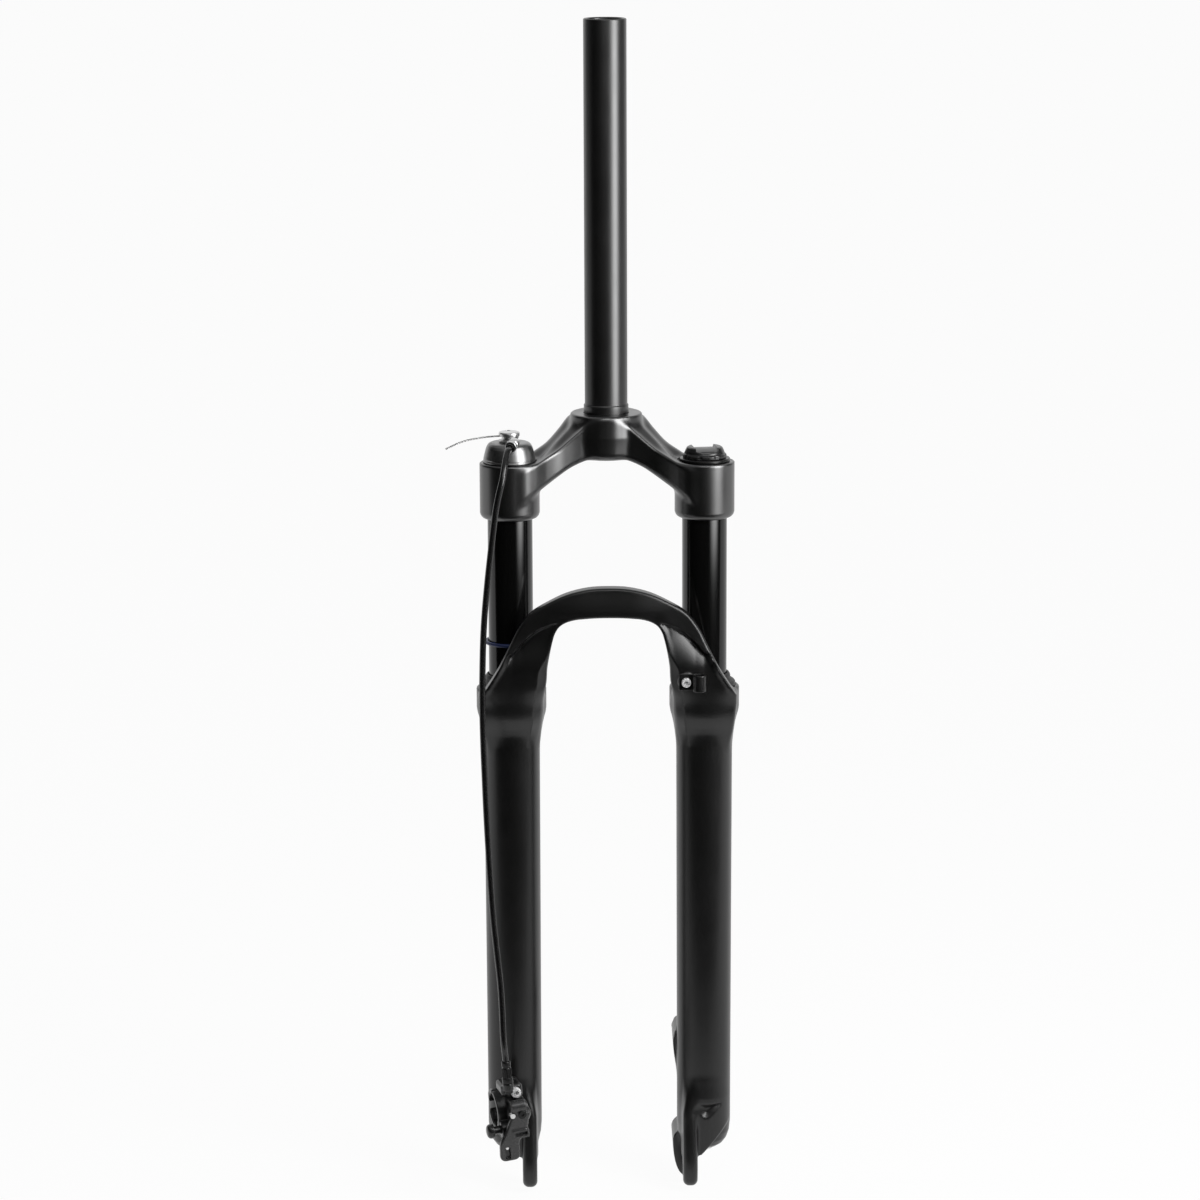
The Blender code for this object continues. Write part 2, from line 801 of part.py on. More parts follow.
def damper_side():
    x, y = RIGHT
    plug_low = CLAMP_TOP - CAP_PLUG
    base = CLAMP_TOP + SEAT_GAP
    cavity = DOME_TOP - 0.0070
    socket = plug_low + 0.006
    bore = SPINDLE_RADIUS + 0.0004
    dome = turned(
        "lockout_cap",
        [
            (DOME_RADIUS - 0.0052, DOME_TOP),
            (DOME_RADIUS - 0.0036, DOME_TOP - 0.0009),
            (DOME_RADIUS - 0.0022, DOME_TOP - 0.0030),
            (DOME_RADIUS - 0.0008, DOME_TOP - 0.0075),
            (DOME_RADIUS, DOME_TOP - 0.0115),
            (DOME_RADIUS, base),
            (PLUG_R, base),
            (PLUG_R, plug_low),
            (STEM_RADIUS + SEAT_GAP, plug_low),
            (STEM_RADIUS + SEAT_GAP, socket),
            (bore, socket),
            (bore, cavity),
            (0.0064, cavity),
            (0.0064, DOME_TOP),
        ],
        "black_metal",
    )
    place(dome, (x, y, 0))
    start, way = wire_exit()
    stop = soften(rod("cable_stop", STOP_RADIUS, STOP_BACK, STOP_BACK + STOP_LENGTH), 0.0004)
    join(dome, place(stop, start, way))
    seat_r = HOUSING_RADIUS + SEAT_GAP + FERRULE_WALL + SEAT_GAP
    mouth = STOP_BACK + STOP_LENGTH
    seat = mouth - STOP_SEAT
    pocket = turned(
        "cable_stop_pocket",
        [
            (0, mouth + 0.002),
            (seat_r, mouth + 0.002),
            (seat_r, seat),
            (WIRE_RADIUS + 0.0004, seat),
            (WIRE_RADIUS + 0.0004, STOP_BACK - 0.004),
            (0, STOP_BACK - 0.004),
        ],
        None,
        SCREW_SIDES,
    )
    cut(dome, place(pocket, start, way))
    place(
        coil(
            "spool_spring", 0.0046, 0.0005, 3, cavity + SEAT_GAP,
            cavity + SEAT_GAP + 0.0062, "steel",
        ),
        (x, y, 0),
    )
    spool = turned(
        "lockout_spool",
        [
            (0, SPOOL_TOP),
            (SPOOL_RADIUS - 0.0006, SPOOL_TOP),
            (SPOOL_RADIUS, SPOOL_TOP - 0.0006),
            (SPOOL_RADIUS, GROOVE_Z + 0.0010),
            (GROOVE_RADIUS, GROOVE_Z + 0.0010),
            (GROOVE_RADIUS, GROOVE_Z - 0.0017),
            (SPOOL_RADIUS, GROOVE_Z - 0.0017),
            (SPOOL_RADIUS, SPOOL_BOTTOM),
            (SPINDLE_RADIUS + SEAT_GAP, SPOOL_BOTTOM),
            (SPINDLE_RADIUS + SEAT_GAP, SPOOL_TOP - 0.0022),
            (0, SPOOL_TOP - 0.0022),
        ],
        "aluminium",
        ROD_SIDES,
    )
    place(spool, (x, y, 0))
    angle = math.radians(WIRE_LEAVE_DEG)
    spot = (x + 0.0042 * math.cos(angle), y + 0.0042 * math.sin(angle), SPOOL_TOP)
    depth = PINCH_LENGTH + SEAT_GAP
    hole = rod("pinch_hole", PINCH_RADIUS + SEAT_GAP, -depth, 0.004, None, SCREW_SIDES)
    cut(spool, place(hole, spot))
    pinch = rod("pinch_screw", PINCH_RADIUS, -PINCH_LENGTH, -SEAT_GAP, "steel", SCREW_SIDES)
    place(pinch, spot)
    hex_socket("pinch_socket", pinch, PINCH_RADIUS, -PINCH_LENGTH / 2, 0.001, None, spot)
    spindle_low = VALVE_LOW - 0.0042
    spindle = rod(
        "lockout_spindle", SPINDLE_RADIUS, spindle_low, SPOOL_TOP - 0.0025, "steel", 6
    )
    place(spindle, (x, y, 0))
    stem_top = socket - SEAT_GAP
    valve = turned(
        "valve_body",
        [
            (STEM_RADIUS, stem_top),
            (STEM_RADIUS, VALVE_TOP + 0.004),
            (PLUG_R - 0.003, VALVE_TOP),
            (PLUG_R, VALVE_TOP - 0.002),
            (PLUG_R, VALVE_LOW),
            (bore, VALVE_LOW),
            (bore, stem_top),
        ],
        "aluminium",
        ROD_SIDES,
    )
    place(valve, (x, y, 0))
    shutter = ring(
        "shutter_plate",
        SPINDLE_RADIUS + SEAT_GAP,
        0.0100,
        VALVE_LOW - 0.0033,
        VALVE_LOW - SEAT_GAP,
        "steel",
        ROD_SIDES,
    )
    place(shutter, (x, y, 0))
    for i in range(4):
        turn = math.tau * i / 4
        spot = (x + 0.0075 * math.cos(turn), y + 0.0075 * math.sin(turn), 0)
        port = rod("valve_port_%d" % i, 0.0017, VALVE_LOW - 0.006, VALVE_TOP + 0.01, None, 10)
        place(port, spot)
        cut(valve, port)
        if i % 2 == 0:
            cut(shutter, port)
    seal_head(RIGHT, "damper_seal_head", "top_out_spring", 4)
    piston(RIGHT, "damper_piston", "damper_piston_band", "bronze")
    leg_rod(RIGHT, "damper_rod")


def cable(remote):
    """Inner wire on the spool, the ferrule and the housing that hangs down to the remote."""
    start, way = wire_exit()
    mouth = STOP_BACK + STOP_LENGTH
    ferrule_low = mouth - STOP_SEAT + SEAT_GAP
    housing_low = ferrule_low + 0.0010 + SEAT_GAP
    bore = HOUSING_RADIUS + SEAT_GAP
    ferrule = turned(
        "housing_ferrule",
        [
            (bore + FERRULE_WALL, ferrule_low + FERRULE_LENGTH),
            (bore + FERRULE_WALL, ferrule_low),
            (WIRE_RADIUS + 0.0004, ferrule_low),
            (WIRE_RADIUS + 0.0004, ferrule_low + 0.0010),
            (bore, ferrule_low + 0.0010),
            (bore, ferrule_low + FERRULE_LENGTH),
        ],
        "black_metal",
        SCREW_SIDES,
    )
    place(ferrule, start, way)
    entry = [start + way * (housing_low - SEAT_GAP), *wire_arc(WIRE_START_DEG, WIRE_LAP_DEG)]
    tube("inner_wire_entry", entry, WIRE_RADIUS, "steel", 1)

    # The gripped end leaves the groove and its cut end hangs out to the side
    tail = wire_arc(WIRE_GRIP_DEG, WIRE_LEAVE_DEG)
    loose = [(-0.008, -0.0008, -0.0002), (-0.018, -0.0020, -0.0010)]
    loose += [(-0.030, -0.0042, -0.0032), (-0.0415, -0.0066, -0.0078)]
    leave = tail[-1]
    tail += smooth_route([leave] + [leave + Vector(step) for step in loose], 2)[1:]
    origin = Vector((*RIGHT, GROOVE_Z))
    strand = tube("inner_wire_tail", [co - origin for co in tail], WIRE_RADIUS, "steel", 1)
    place(strand, origin)

    # Housing route: share of the drop, outboard of the leg axis, ahead of the leg axis
    turn = remote.rotation_euler.to_matrix()
    low = remote.location + turn @ Vector((BARREL_X, LEVER_PLANE, 0.0370))
    up = turn @ Vector((0, 0, 1))
    high = start + way * housing_low
    route = [
        (0.020, 0.0026, 0.0345),
        (0.046, 0.0046, 0.0405),
        (0.086, 0.0085, 0.0420),
        (0.160, 0.0126, 0.0420),
        (0.280, 0.0176, 0.0420),
        (0.410, 0.0191, 0.0422),
        (0.530, 0.0180, 0.0432),
        (0.640, 0.0162, 0.0452),
        (0.760, 0.0132, 0.0500),
        (0.870, 0.0086, 0.0568),
    ]
    x, y = RIGHT
    points = [high + way * (0.0040 * i) for i in range(4)]
    for share, outboard, ahead in route:
        points.append(Vector((x - outboard, y - ahead, high.z + (low.z - high.z) * share)))
    points += [low + up * 0.022, low + up * 0.010, low]
    tube("cable_housing", smooth_route(points, 3), HOUSING_RADIUS, "rubber", 2)


def arch():
    """The brace ahead of the stanchions, from the middle out and down to the collar."""
    reach = COLLAR_R
    stations = [
        (None, 0.0000, None, 0.0000, 0.000, 0.000),
        (-0.051, -0.0006, -0.052, -0.0002, 0.000, 0.000),
        (-0.037, -0.0043, -0.041, -0.0016, 0.000, 0.000),
        (-0.024, -0.0105, -0.0335, -0.0050, 0.000, 0.000),
        (-0.013, -0.0175, -0.0298, -0.0098, 0.0004, 0.000),
        (-0.005, -0.0280, -0.0278, -0.0158, 0.0010, 0.000),
        (0.0015, -0.0410, -0.0260, -0.0240, 0.0018, 0.000),
        (0.0080, -0.0540, -0.0243, -0.0345, 0.0034, 0.000),
        (0.0145, -0.0650, -0.0236, -0.0450, 0.0064, 0.0026),
        (reach - 0.0018, -0.0752, 0.0018 - reach, -0.0570, 0.0105, 0.0140),
        (reach - 0.0030, -0.0880, 0.0030 - reach, -0.0690, 0.0128, 0.0190),
        (LEG_R - 0.0030, -0.1030, 0.0030 - LEG_R, -0.0845, 0.0190, 0.0200),
    ]
    top = COLLAR_TOP + ARCH_RISE
    rings = []
    for outer_x, outer_drop, inner_x, inner_drop, ahead, behind in stations:
        outer = Vector((0 if outer_x is None else LEG_X + outer_x, 0, top + outer_drop))
        inner_z = top - ARCH_DEPTH + inner_drop
        inner = Vector((0 if inner_x is None else LEG_X + inner_x, 0, inner_z))
        front = LEG_Y - ARCH_FRONT + ahead
        back = LEG_Y - ARCH_BACK + behind
        rings.append(arch_section(outer, inner, front, back))
    return mirrored(loft("arch", rings, None, open_start=True))


def arch_section(outer, inner, front, back):
    """A rounded section between the outer and the inner edge of the arch."""
    across = inner - outer
    depth = back - front
    shape = [
        (0.10, 0.00), (0.36, -0.05), (0.64, -0.05), (0.90, 0.00), (0.985, 0.07), (1.00, 0.25),
        (1.00, 0.78), (0.94, 1.00), (0.06, 1.00), (0.00, 0.78), (0.00, 0.25), (0.015, 0.07),
    ]
    found = []
    for share, deep in shape:
        point = outer + across * share
        found.append(Vector((point.x, front + depth * deep, point.z)))
    return found


def dropout_outline():
    """Side outline of a dropout as (y, z), with its slot open at the bottom."""
    y, z = AXLE_Y, AXLE_Z
    half = AXLE_SLOT / 2
    tip = z - TIP_DROP
    wide = DROPOUT_RADIUS
    found = [(LEG_Y + 0.004, z + BLADE_RISE), (LEG_Y + 0.006, z + 0.016)]
    found += [(y + wide, z + 0.005), (y + wide, z - 0.004), (y + wide - 0.003, tip + 0.002)]
    found += [(y + half + 0.0035, tip), (y + half + 0.0008, tip), (y + half, tip + 0.001)]
    found += arc((y, z), half, 0, 180, 8)
    found += [(y - half, tip + 0.001), (y - half - 0.0008, tip), (y - half - 0.0035, tip)]
    found += [(y - wide + 0.003, tip + 0.002), (y - wide, z - 0.004), (y - wide, z + 0.004)]
    found += [(y - wide + 0.0015, z + 0.014), (LEG_Y - LEG_R - 0.0055, z + 0.032)]
    found += [(LEG_Y - LEG_R - 0.0020, z + 0.046), (LEG_Y - LEG_R + 0.004, z + BLADE_RISE)]
    return found


def leg_end(casting, side, sign):
    """The foot of one leg: front shroud with its pocket, and the dropout."""
    x = sign * LEG_X
    top = AXLE_Z + 0.070
    shroud_r = LEG_R_LOW - 0.0002
    shroud = turned(
        "shroud_" + side,
        [
            (0, top),
            (shroud_r - 0.0030, top),
            (shroud_r - 0.0013, top - 0.008),
            (shroud_r, top - 0.020),
            (shroud_r, FOOT_Z - 0.002),
            (0, FOOT_Z - 0.002),
        ],
    )
    place(shroud, (x, LEG_Y - SHROUD_LEAD, 0), None, (0, 0, math.radians(SHROUD_TURN_DEG)))
    inner = HUB_HALF - LEG_X
    outline = [
        (sign * (inner + 0.0005), top + 0.004),
        (sign * (shroud_r + 0.002), top + 0.004),
        (sign * (shroud_r + 0.002), AXLE_Z + 0.0350),
        (sign * (inner + DROPOUT_THICKNESS), AXLE_Z + 0.0065),
        (sign * (inner + 0.0005), AXLE_Z + 0.0065),
    ]
    if sign < 0:
        outline.reverse()
    mask = plate("shroud_mask_" + side, outline, 0.030)
    place(mask, (x, LEG_Y - 0.015 - 0.004, 0), None, (math.radians(90), 0, 0))
    combine(shroud, mask, "INTERSECT")
    join(casting, shroud)
    blade = soften(plate("dropout_" + side, dropout_outline(), DROPOUT_THICKNESS), 0.0012)
    middle = sign * (HUB_HALF + DROPOUT_THICKNESS / 2)
    place(blade, (middle, 0, 0), None, (math.radians(90), 0, math.radians(90)))
    join(casting, blade)
    wall = inner + DROPOUT_THICKNESS + POCKET_WALL
    pocket = [(wall, 0.0465), (0.0110, 0.0468), (0.0118, 0.0450), (0.0020, 0.0362)]
    pocket += [(-0.0002, 0.0362), (wall, 0.0448)]
    outline = [(sign * px, AXLE_Z + pz) for px, pz in pocket]
    if sign < 0:
        outline.reverse()
    dent = plate("pocket_" + side, outline, 0.020)
    depth = LEG_Y - LEG_R_LOW + 0.0012
    place(dent, (x, depth - 0.010, 0), None, (math.radians(90), 0, 0))
    cut(casting, dent)
    recess = rod("nut_recess_" + side, NUT_RECESS_RADIUS, 0, 0.006, None, ROD_SIDES)
    face = HUB_HALF + DROPOUT_THICKNESS - NUT_RECESS_DEPTH
    place(recess, (sign * face, AXLE_Y, AXLE_Z), (sign, 0, 0))
    cut(casting, recess)


def leg_cutter(side, place_at):
    """All the bores of one leg, from the stanchion clearance down to the foot bolt."""
    wiper = WIPER_R + WIPER_FLANGE + 0.0005
    ledge = COLLAR_TOP - WIPER_SINK
    well = COLLAR_TOP - WIPER_DEPTH - FOAM_DEPTH
    hole = FOOT_BOLT_RADIUS + 0.0004
    counter = 0.0072
    tool = turned(
        "leg_bore_" + side,
        [
            (0, COLLAR_TOP + 0.09),
            (STANCHION_R + 0.0022, COLLAR_TOP + 0.09),
            (STANCHION_R + 0.0022, WIPER_TOP + 0.0015),
            (wiper, WIPER_TOP + 0.0015),
            (wiper, ledge),
            (WIPER_SEAT_R, ledge),
            (WIPER_SEAT_R, well),
            (LEG_BORE, well),
            (LEG_BORE, LEG_FLOOR),
            (hole, LEG_FLOOR),
            (hole, FOOT_Z + FOOT_RECESS),
            (counter, FOOT_Z + FOOT_RECESS),
            (counter, FOOT_Z - 0.01),
            (0, FOOT_Z - 0.01),
        ],
    )
    return place(tool, (*place_at, 0))


def post_ring(x, y, z, radius, tail):
    """A ring of a post at one depth, drawn out downwards into a tail."""
    found = []
    for across, up in arc((0, 0), 1, 0, 360 - 360 / ROD_SIDES, ROD_SIDES - 1):
        height = up * (radius if up > 0 else radius + tail)
        found.append(Vector((x + across * radius, y, z + height)))
    return found


def brake_posts(casting):
    """Two posts behind the left leg for a disc brake, on one web."""
    x = LEG_X - POST_INBOARD
    low = AXLE_Z + POST_HEIGHT
    high = low + POST_SPACING
    face = LEG_Y + POST_REACH
    root = LEG_Y + 0.004
    web = [
        (root, high + 0.0200),
        (face - 0.0075, high + 0.0085),
        (face - 0.0030, high + 0.0055),
        (face - 0.0030, high - 0.0055),
        (face - 0.0120, high - 0.0130),
        (LEG_Y + 0.0215, (high + low) / 2),
        (face - 0.0120, low + 0.0130),
        (face - 0.0030, low + 0.0055),
        (face - 0.0030, low - 0.0055),
        (face - 0.0090, low - 0.0080),
        (root, low - 0.0030),
    ]
    bracket = soften(plate("post_web", web, 0.0070), 0.0010)
    place(bracket, (x, 0, 0), None, (math.radians(90), 0, math.radians(90)))
    join(casting, bracket)
    for name, z in (("low", low), ("high", high)):
        rings = [
            post_ring(x, face, z, POST_RADIUS - 0.0008, 0),
            post_ring(x, face - 0.0008, z, POST_RADIUS, 0),
            post_ring(x, face - 0.0080, z, POST_RADIUS, POST_TAIL * 0.3),
            post_ring(x, face - 0.0180, z, POST_RADIUS, POST_TAIL),
            post_ring(x, LEG_Y + 0.0060, z, POST_RADIUS * 0.8, POST_TAIL * 1.5),
        ]
        join(casting, loft("post_" + name, rings))
    for name, z in (("low", low), ("high", high)):
        bore = rod("post_bore_" + name, POST_BORE, -0.014, 0.004, None, SCREW_SIDES)
        cut(casting, place(bore, (x, face, z), (0, 1, 0)))


def guide_place():
    return Vector((LEG_X - 0.0135, LEG_Y - ARCH_FRONT + 0.0020, COLLAR_TOP + 0.0096))


def lower_casting():
    drop = FOOT_Z
    outer = [
        (0, COLLAR_TOP),
        (COLLAR_R - 0.0009, COLLAR_TOP),
        (COLLAR_R, COLLAR_TOP - 0.0009),
        (COLLAR_R, COLLAR_TOP - COLLAR_HEIGHT),
        (COLLAR_R - 0.0012, COLLAR_TOP - COLLAR_HEIGHT - COLLAR_BLEND * 0.35),
        (LEG_R + 0.0009, COLLAR_TOP - COLLAR_HEIGHT - COLLAR_BLEND),
        (LEG_R, COLLAR_TOP - COLLAR_HEIGHT - COLLAR_BLEND * 1.8),
        (LEG_R_LOW, drop + 0.0160),
        (LEG_R_LOW - 0.0014, drop + 0.0085),
        (LEG_R_LOW - 0.0046, drop + 0.0030),
        (LEG_R_LOW - 0.0088, drop),
        (0, drop),
    ]
    casting = place(turned("lower_casting", outer, "matte_black"), (*LEFT, 0))
    join(casting, place(turned("right_leg", outer), (*RIGHT, 0)))
    join(casting, arch())
    leg_end(casting, "left", 1)
    leg_end(casting, "right", -1)
    brake_posts(casting)
    spot = guide_place()
    pad = rod("guide_pad", 0.0055, 0, 0.010, None, ROD_SIDES)
    join(casting, place(pad, spot, (0, 1, 0)))
    thread = rod("guide_thread", 0.0020 + SEAT_GAP, -0.002, 0.0085, None, SCREW_SIDES)
    cut(casting, place(thread, spot, (0, 1, 0)))
    cut(casting, leg_cutter("left", LEFT), leg_cutter("right", RIGHT))


def leg_fittings(side, place_at):
    x, y = place_at
    lip = BUSHING_INNER
    seat = COLLAR_TOP
    foot = seat - WIPER_DEPTH + SEAT_GAP
    wiper = turned(
        "wiper_seal_" + side,
        [
            (lip + 0.0012, WIPER_TOP),
            (lip + 0.0030, WIPER_TOP - 0.0030),
            (WIPER_R + WIPER_FLANGE, WIPER_TOP - 0.0062),
            (WIPER_R + WIPER_FLANGE, seat + SEAT_GAP),
            (WIPER_R, seat + SEAT_GAP),
            (WIPER_R, foot),
            (lip + 0.0012, foot),
            (lip + 0.0012, WIPER_TOP - 0.0030),
            (lip, WIPER_TOP - 0.0008),
        ],
        "rubber",
    )
    place(wiper, (x, y, 0))
    well = seat - WIPER_DEPTH - FOAM_DEPTH + SEAT_GAP
    place(ring("foam_ring_" + side, lip, WIPER_R, well, seat - WIPER_DEPTH, "foam"), (x, y, 0))
    top = seat - WIPER_DEPTH - FOAM_DEPTH - 0.002
    upper = ring(
        "upper_bushing_" + side, lip, BUSHING_OUTER, top - BUSHING_LENGTH, top, "bronze"
    )
    place(upper, (x, y, 0))
    low = STANCHION_END + 0.030
    lower = ring(
        "lower_bushing_" + side, lip, BUSHING_OUTER, low, low + BUSHING_LENGTH, "bronze"
    )
    place(lower, (x, y, 0))
    ledge = FOOT_Z + FOOT_RECESS
    washer = ring(
        "foot_washer_" + side, FOOT_BOLT_RADIUS + SEAT_GAP, 0.0066,
        ledge - SEAT_GAP - 0.0010, ledge - SEAT_GAP, "steel", ROD_SIDES,
    )
    place(washer, (x, y, 0))
    head = ledge - 2 * SEAT_GAP - 0.0010
    reach = LEG_FLOOR + 0.020 - head
    bolt = screw("foot_bolt_" + side, 0.0063, 0.0070, FOOT_BOLT_RADIUS, reach, "steel")
    place(bolt, (x, y, head), (0, 0, -1))
    hex_socket("foot_socket_" + side, bolt, 0.005, 0.0030, 0.009, None, (x, y, head), (0, 0, -1))


def hose_guide():
    """A hose clip on the left limb of the arch, held by one screw."""
    spot = guide_place()
    inner = 0.0030
    outer = 0.0045
    height = 0.0112
    face = -SEAT_GAP
    centre = (0.0088, face - outer)
    outline = [(-0.0048, face)]
    outline += arc(centre, outer, 90, -206, 18)
    outline += arc(centre, inner, -206, 90, 14)
    outline += [(-0.0048, face - (outer - inner))]
    clip = plate("hose_guide", outline, height, "plastic")
    place(clip, spot)
    hole = rod("guide_hole", 0.0020 + SEAT_GAP, -0.006, 0.004, None, SCREW_SIDES)
    cut(clip, place(hole, spot, (0, 1, 0)))
    seat = spot + Vector((0, face - (outer - inner) - SEAT_GAP, 0))
    bolt = screw("hose_guide_bolt", 0.0034, 0.0026, 0.0020, 0.0090, "steel")
    place(bolt, seat, (0, -1, 0))
    hex_socket("guide_socket", bolt, 0.0025, 0.0012, 0.004, None, seat, (0, -1, 0))


def remote():
    """The handlebar remote, built in the frame of one parent."""
    frame = bpy.data.objects.new("remote_frame", None)
    PARTS.objects.link(frame)
    x, y, z = REMOTE_PLACE
    frame.location = (x - LEG_X, y + LEG_Y, z + AXLE_Z)
    frame.rotation_euler = (0, math.radians(REMOTE_ROLL_DEG), math.radians(REMOTE_YAW_DEG))
    half = CLAMP_RING_WIDTH / 2
    outer = BAR_RADIUS + CLAMP_RING_WALL
    along = (1, 0, 0)
    ahead = (0, -1, 0)
    bolt_spot = Vector((0.0075, 0, 0.0160))
    pivot = Vector((BARREL_X + DRUM_RADIUS, 0, LEVER_HEIGHT))
    back = LEVER_PLANE + LEVER_THICKNESS / 2 + SEAT_GAP
    front = LEVER_PLANE - LEVER_THICKNESS / 2

    body = rod("remote_body", outer, -half, half, "plastic", TUBE_SIDES)
    place(body, (0, 0, 0), along, None, frame)
    low = (bolt_spot.x - 0.0062, -0.0110, 0.0090)
    high = (bolt_spot.x + 0.0055, 0.0080, 0.0205)
    ears = soften(box("remote_ears", low, high), 0.0018, 2)
    bridge = soften(box("remote_bridge", (0.0005, -0.0190, -0.0080), (0.0130, -0.0080, 0.0115)), 0.001)
    plinth = rod("remote_plinth", LEVER_RADIUS + 0.0008, 0, 0.0048, None, TUBE_SIDES)
    place(plinth, (pivot.x, back, pivot.z), (0, 1, 0))
    web_low = (BARREL_X - 0.0028, LEVER_PLANE + 0.001, 0.0150)
    web_high = (BARREL_X + 0.0045, -0.0100, 0.0215)
    web = soften(box("remote_web", web_low, web_high), 0.0008)
    neck = soften(rod("remote_neck", 0.0046, 0.0148, 0.0265), 0.0007)
    place(neck, (BARREL_X, LEVER_PLANE, 0))
    button_y = -0.0150
    button_z = -0.0090
    boss = soften(rod("remote_button_boss", 0.0056, -0.0065, 0.0040), 0.0006)
    place(boss, (0, button_y, button_z), along)
    for tool in (ears, bridge, plinth, web, neck, boss):
        tool.parent = frame
        join(body, tool)
    bar = place(rod("remote_bar_bore", BAR_RADIUS, -0.03, 0.03, None, TUBE_SIDES), (0, 0, 0), along)
    slit = box("remote_slit", (-0.03, -0.0018, 0.008), (0.03, -0.0002, 0.026))
    bolt_hole = rod("remote_bolt_hole", 0.0020 + SEAT_GAP, -0.012, 0.016, None, SCREW_SIDES)
    place(bolt_hole, (bolt_spot.x, 0, bolt_spot.z), ahead)
    pivot_hole = rod("remote_pivot_hole", 0.0025 + SEAT_GAP, 0.0120, 0.030, None, SCREW_SIDES)
    place(pivot_hole, pivot, ahead)
    barrel_hole = rod("remote_barrel_hole", 0.0030 + SEAT_GAP, 0.010, 0.030, None, SCREW_SIDES)
    place(barrel_hole, (BARREL_X, LEVER_PLANE, 0))
    button_hole = rod("remote_button_hole", 0.0028 + SEAT_GAP, -0.010, 0.0022, None, SCREW_SIDES)
    place(button_hole, (0, button_y, button_z), along)
    for tool in (slit, bolt_hole, pivot_hole, barrel_hole, button_hole, bar):
        tool.parent = frame
        cut(body, tool)

    bolt = screw("clamp_bolt", 0.0034, 0.0034, 0.0020, 0.0170, "steel")
    seat = (bolt_spot.x, -0.0110 - SEAT_GAP, bolt_spot.z)
    place(bolt, seat, ahead, None, frame)
    hex_socket("clamp_socket", bolt, 0.003, 0.0014, 0.005, frame, seat, ahead)

    hub = turned(
        "remote_lever",
        [
            (0, -front),
            (LEVER_RADIUS - 0.0015, -front),
            (LEVER_RADIUS, -front - 0.0015),
            (LEVER_RADIUS, SEAT_GAP - back),
            (0, SEAT_GAP - back),
        ],
        "plastic",
    )
    place(hub, pivot, ahead, None, frame)
    paddle_outline = [
        (-0.0068, 0.0010), (-0.0128, -0.0120), (-0.0172, -0.0185), (-0.0178, -0.0290),
        (-0.0156, -0.0312), (-0.0063, -0.0312), (-0.0040, -0.0290), (-0.0040, -0.0190),
        (0.0014, -0.0110), (0.0062, 0.0010),
    ]
    paddle = plate("lever_paddle", paddle_outline, 0.0042)
    soften(paddle, 0.0010)
    place(paddle, (pivot.x, LEVER_PLANE, pivot.z), None, (math.radians(90), 0, 0), frame)
    join(hub, paddle)
    slot = box("lever_slot", (-0.0146, -0.0050, -0.0268), (-0.0070, -0.0012, -0.0238))
    place(slot, (pivot.x, LEVER_PLANE, pivot.z), None, None, frame)
    cut(hub, slot)
    lever_hole = rod("lever_hole", 0.0025 + SEAT_GAP, 0.015, 0.035, None, SCREW_SIDES)
    place(lever_hole, pivot, ahead, None, frame)
    cut(hub, lever_hole)
    nest = Vector((pivot.x - DRUM_RADIUS + 0.0008, 0, pivot.z))
    nest_hole = rod("lever_nest", 0.0018 + SEAT_GAP, -front - 0.0045, 0.035, None, SCREW_SIDES)
    place(nest_hole, nest, ahead, None, frame)
    cut(hub, nest_hole)
    head = rod("cable_head", 0.0018, -front - 0.0042, -front - 0.0004, "steel", SCREW_SIDES)
    place(head, nest, ahead, None, frame)

    reach = 0.0135
    axle = screw("lever_pivot_bolt", 0.0042, 0.0024, 0.0025, reach, "black_metal")
    seat = (pivot.x, front - SEAT_GAP, pivot.z)
    place(axle, seat, ahead, None, frame)
    hex_socket("pivot_socket", axle, 0.003, 0.0010, 0.004, frame, seat, ahead)

    tip = -0.0162
    button = turned(
        "release_button",
        [
            (0, -0.0028),
            (0.0028, -0.0028),
            (0.0028, tip + 0.0048),
            (0.0050, tip + 0.0048),
            (0.0050, tip + 0.0018),
            (0.0038, tip + 0.0004),
            (0.0020, tip),
            (0, tip),
        ],
        "plastic",
        ROD_SIDES,
    )
    place(button, (0, button_y, button_z), along, None, frame)

    socket = 0.0367
    top = 0.0420
    barrel = turned(
        "barrel_adjuster",
        [
            (0.0034, top),
            (0.0040, top - 0.0012),
            (0.0040, 0.0268),
            (0.0030, 0.0268),
            (0.0030, 0.0155),
            (0.0010, 0.0155),
            (0.0010, socket),
            (HOUSING_RADIUS + SEAT_GAP, socket),
            (HOUSING_RADIUS + SEAT_GAP, top),
        ],
        "black_metal",
        12,
    )
    place(barrel, (BARREL_X, LEVER_PLANE, 0), None, None, frame)
    return frame


steerer()
crown()
stanchions()
air_side()
damper_side()
lower_casting()
leg_fittings("left", LEFT)
leg_fittings("right", RIGHT)
hose_guide()
cable(remote())
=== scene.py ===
"""Suspension fork: finer pieces, finishes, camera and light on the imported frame.

Shapes are worked out in millimetres in the frame of the part and made in metres.
"""

import math

import bmesh
import bpy
import numpy as np
from mathutils import Matrix, Quaternion, Vector


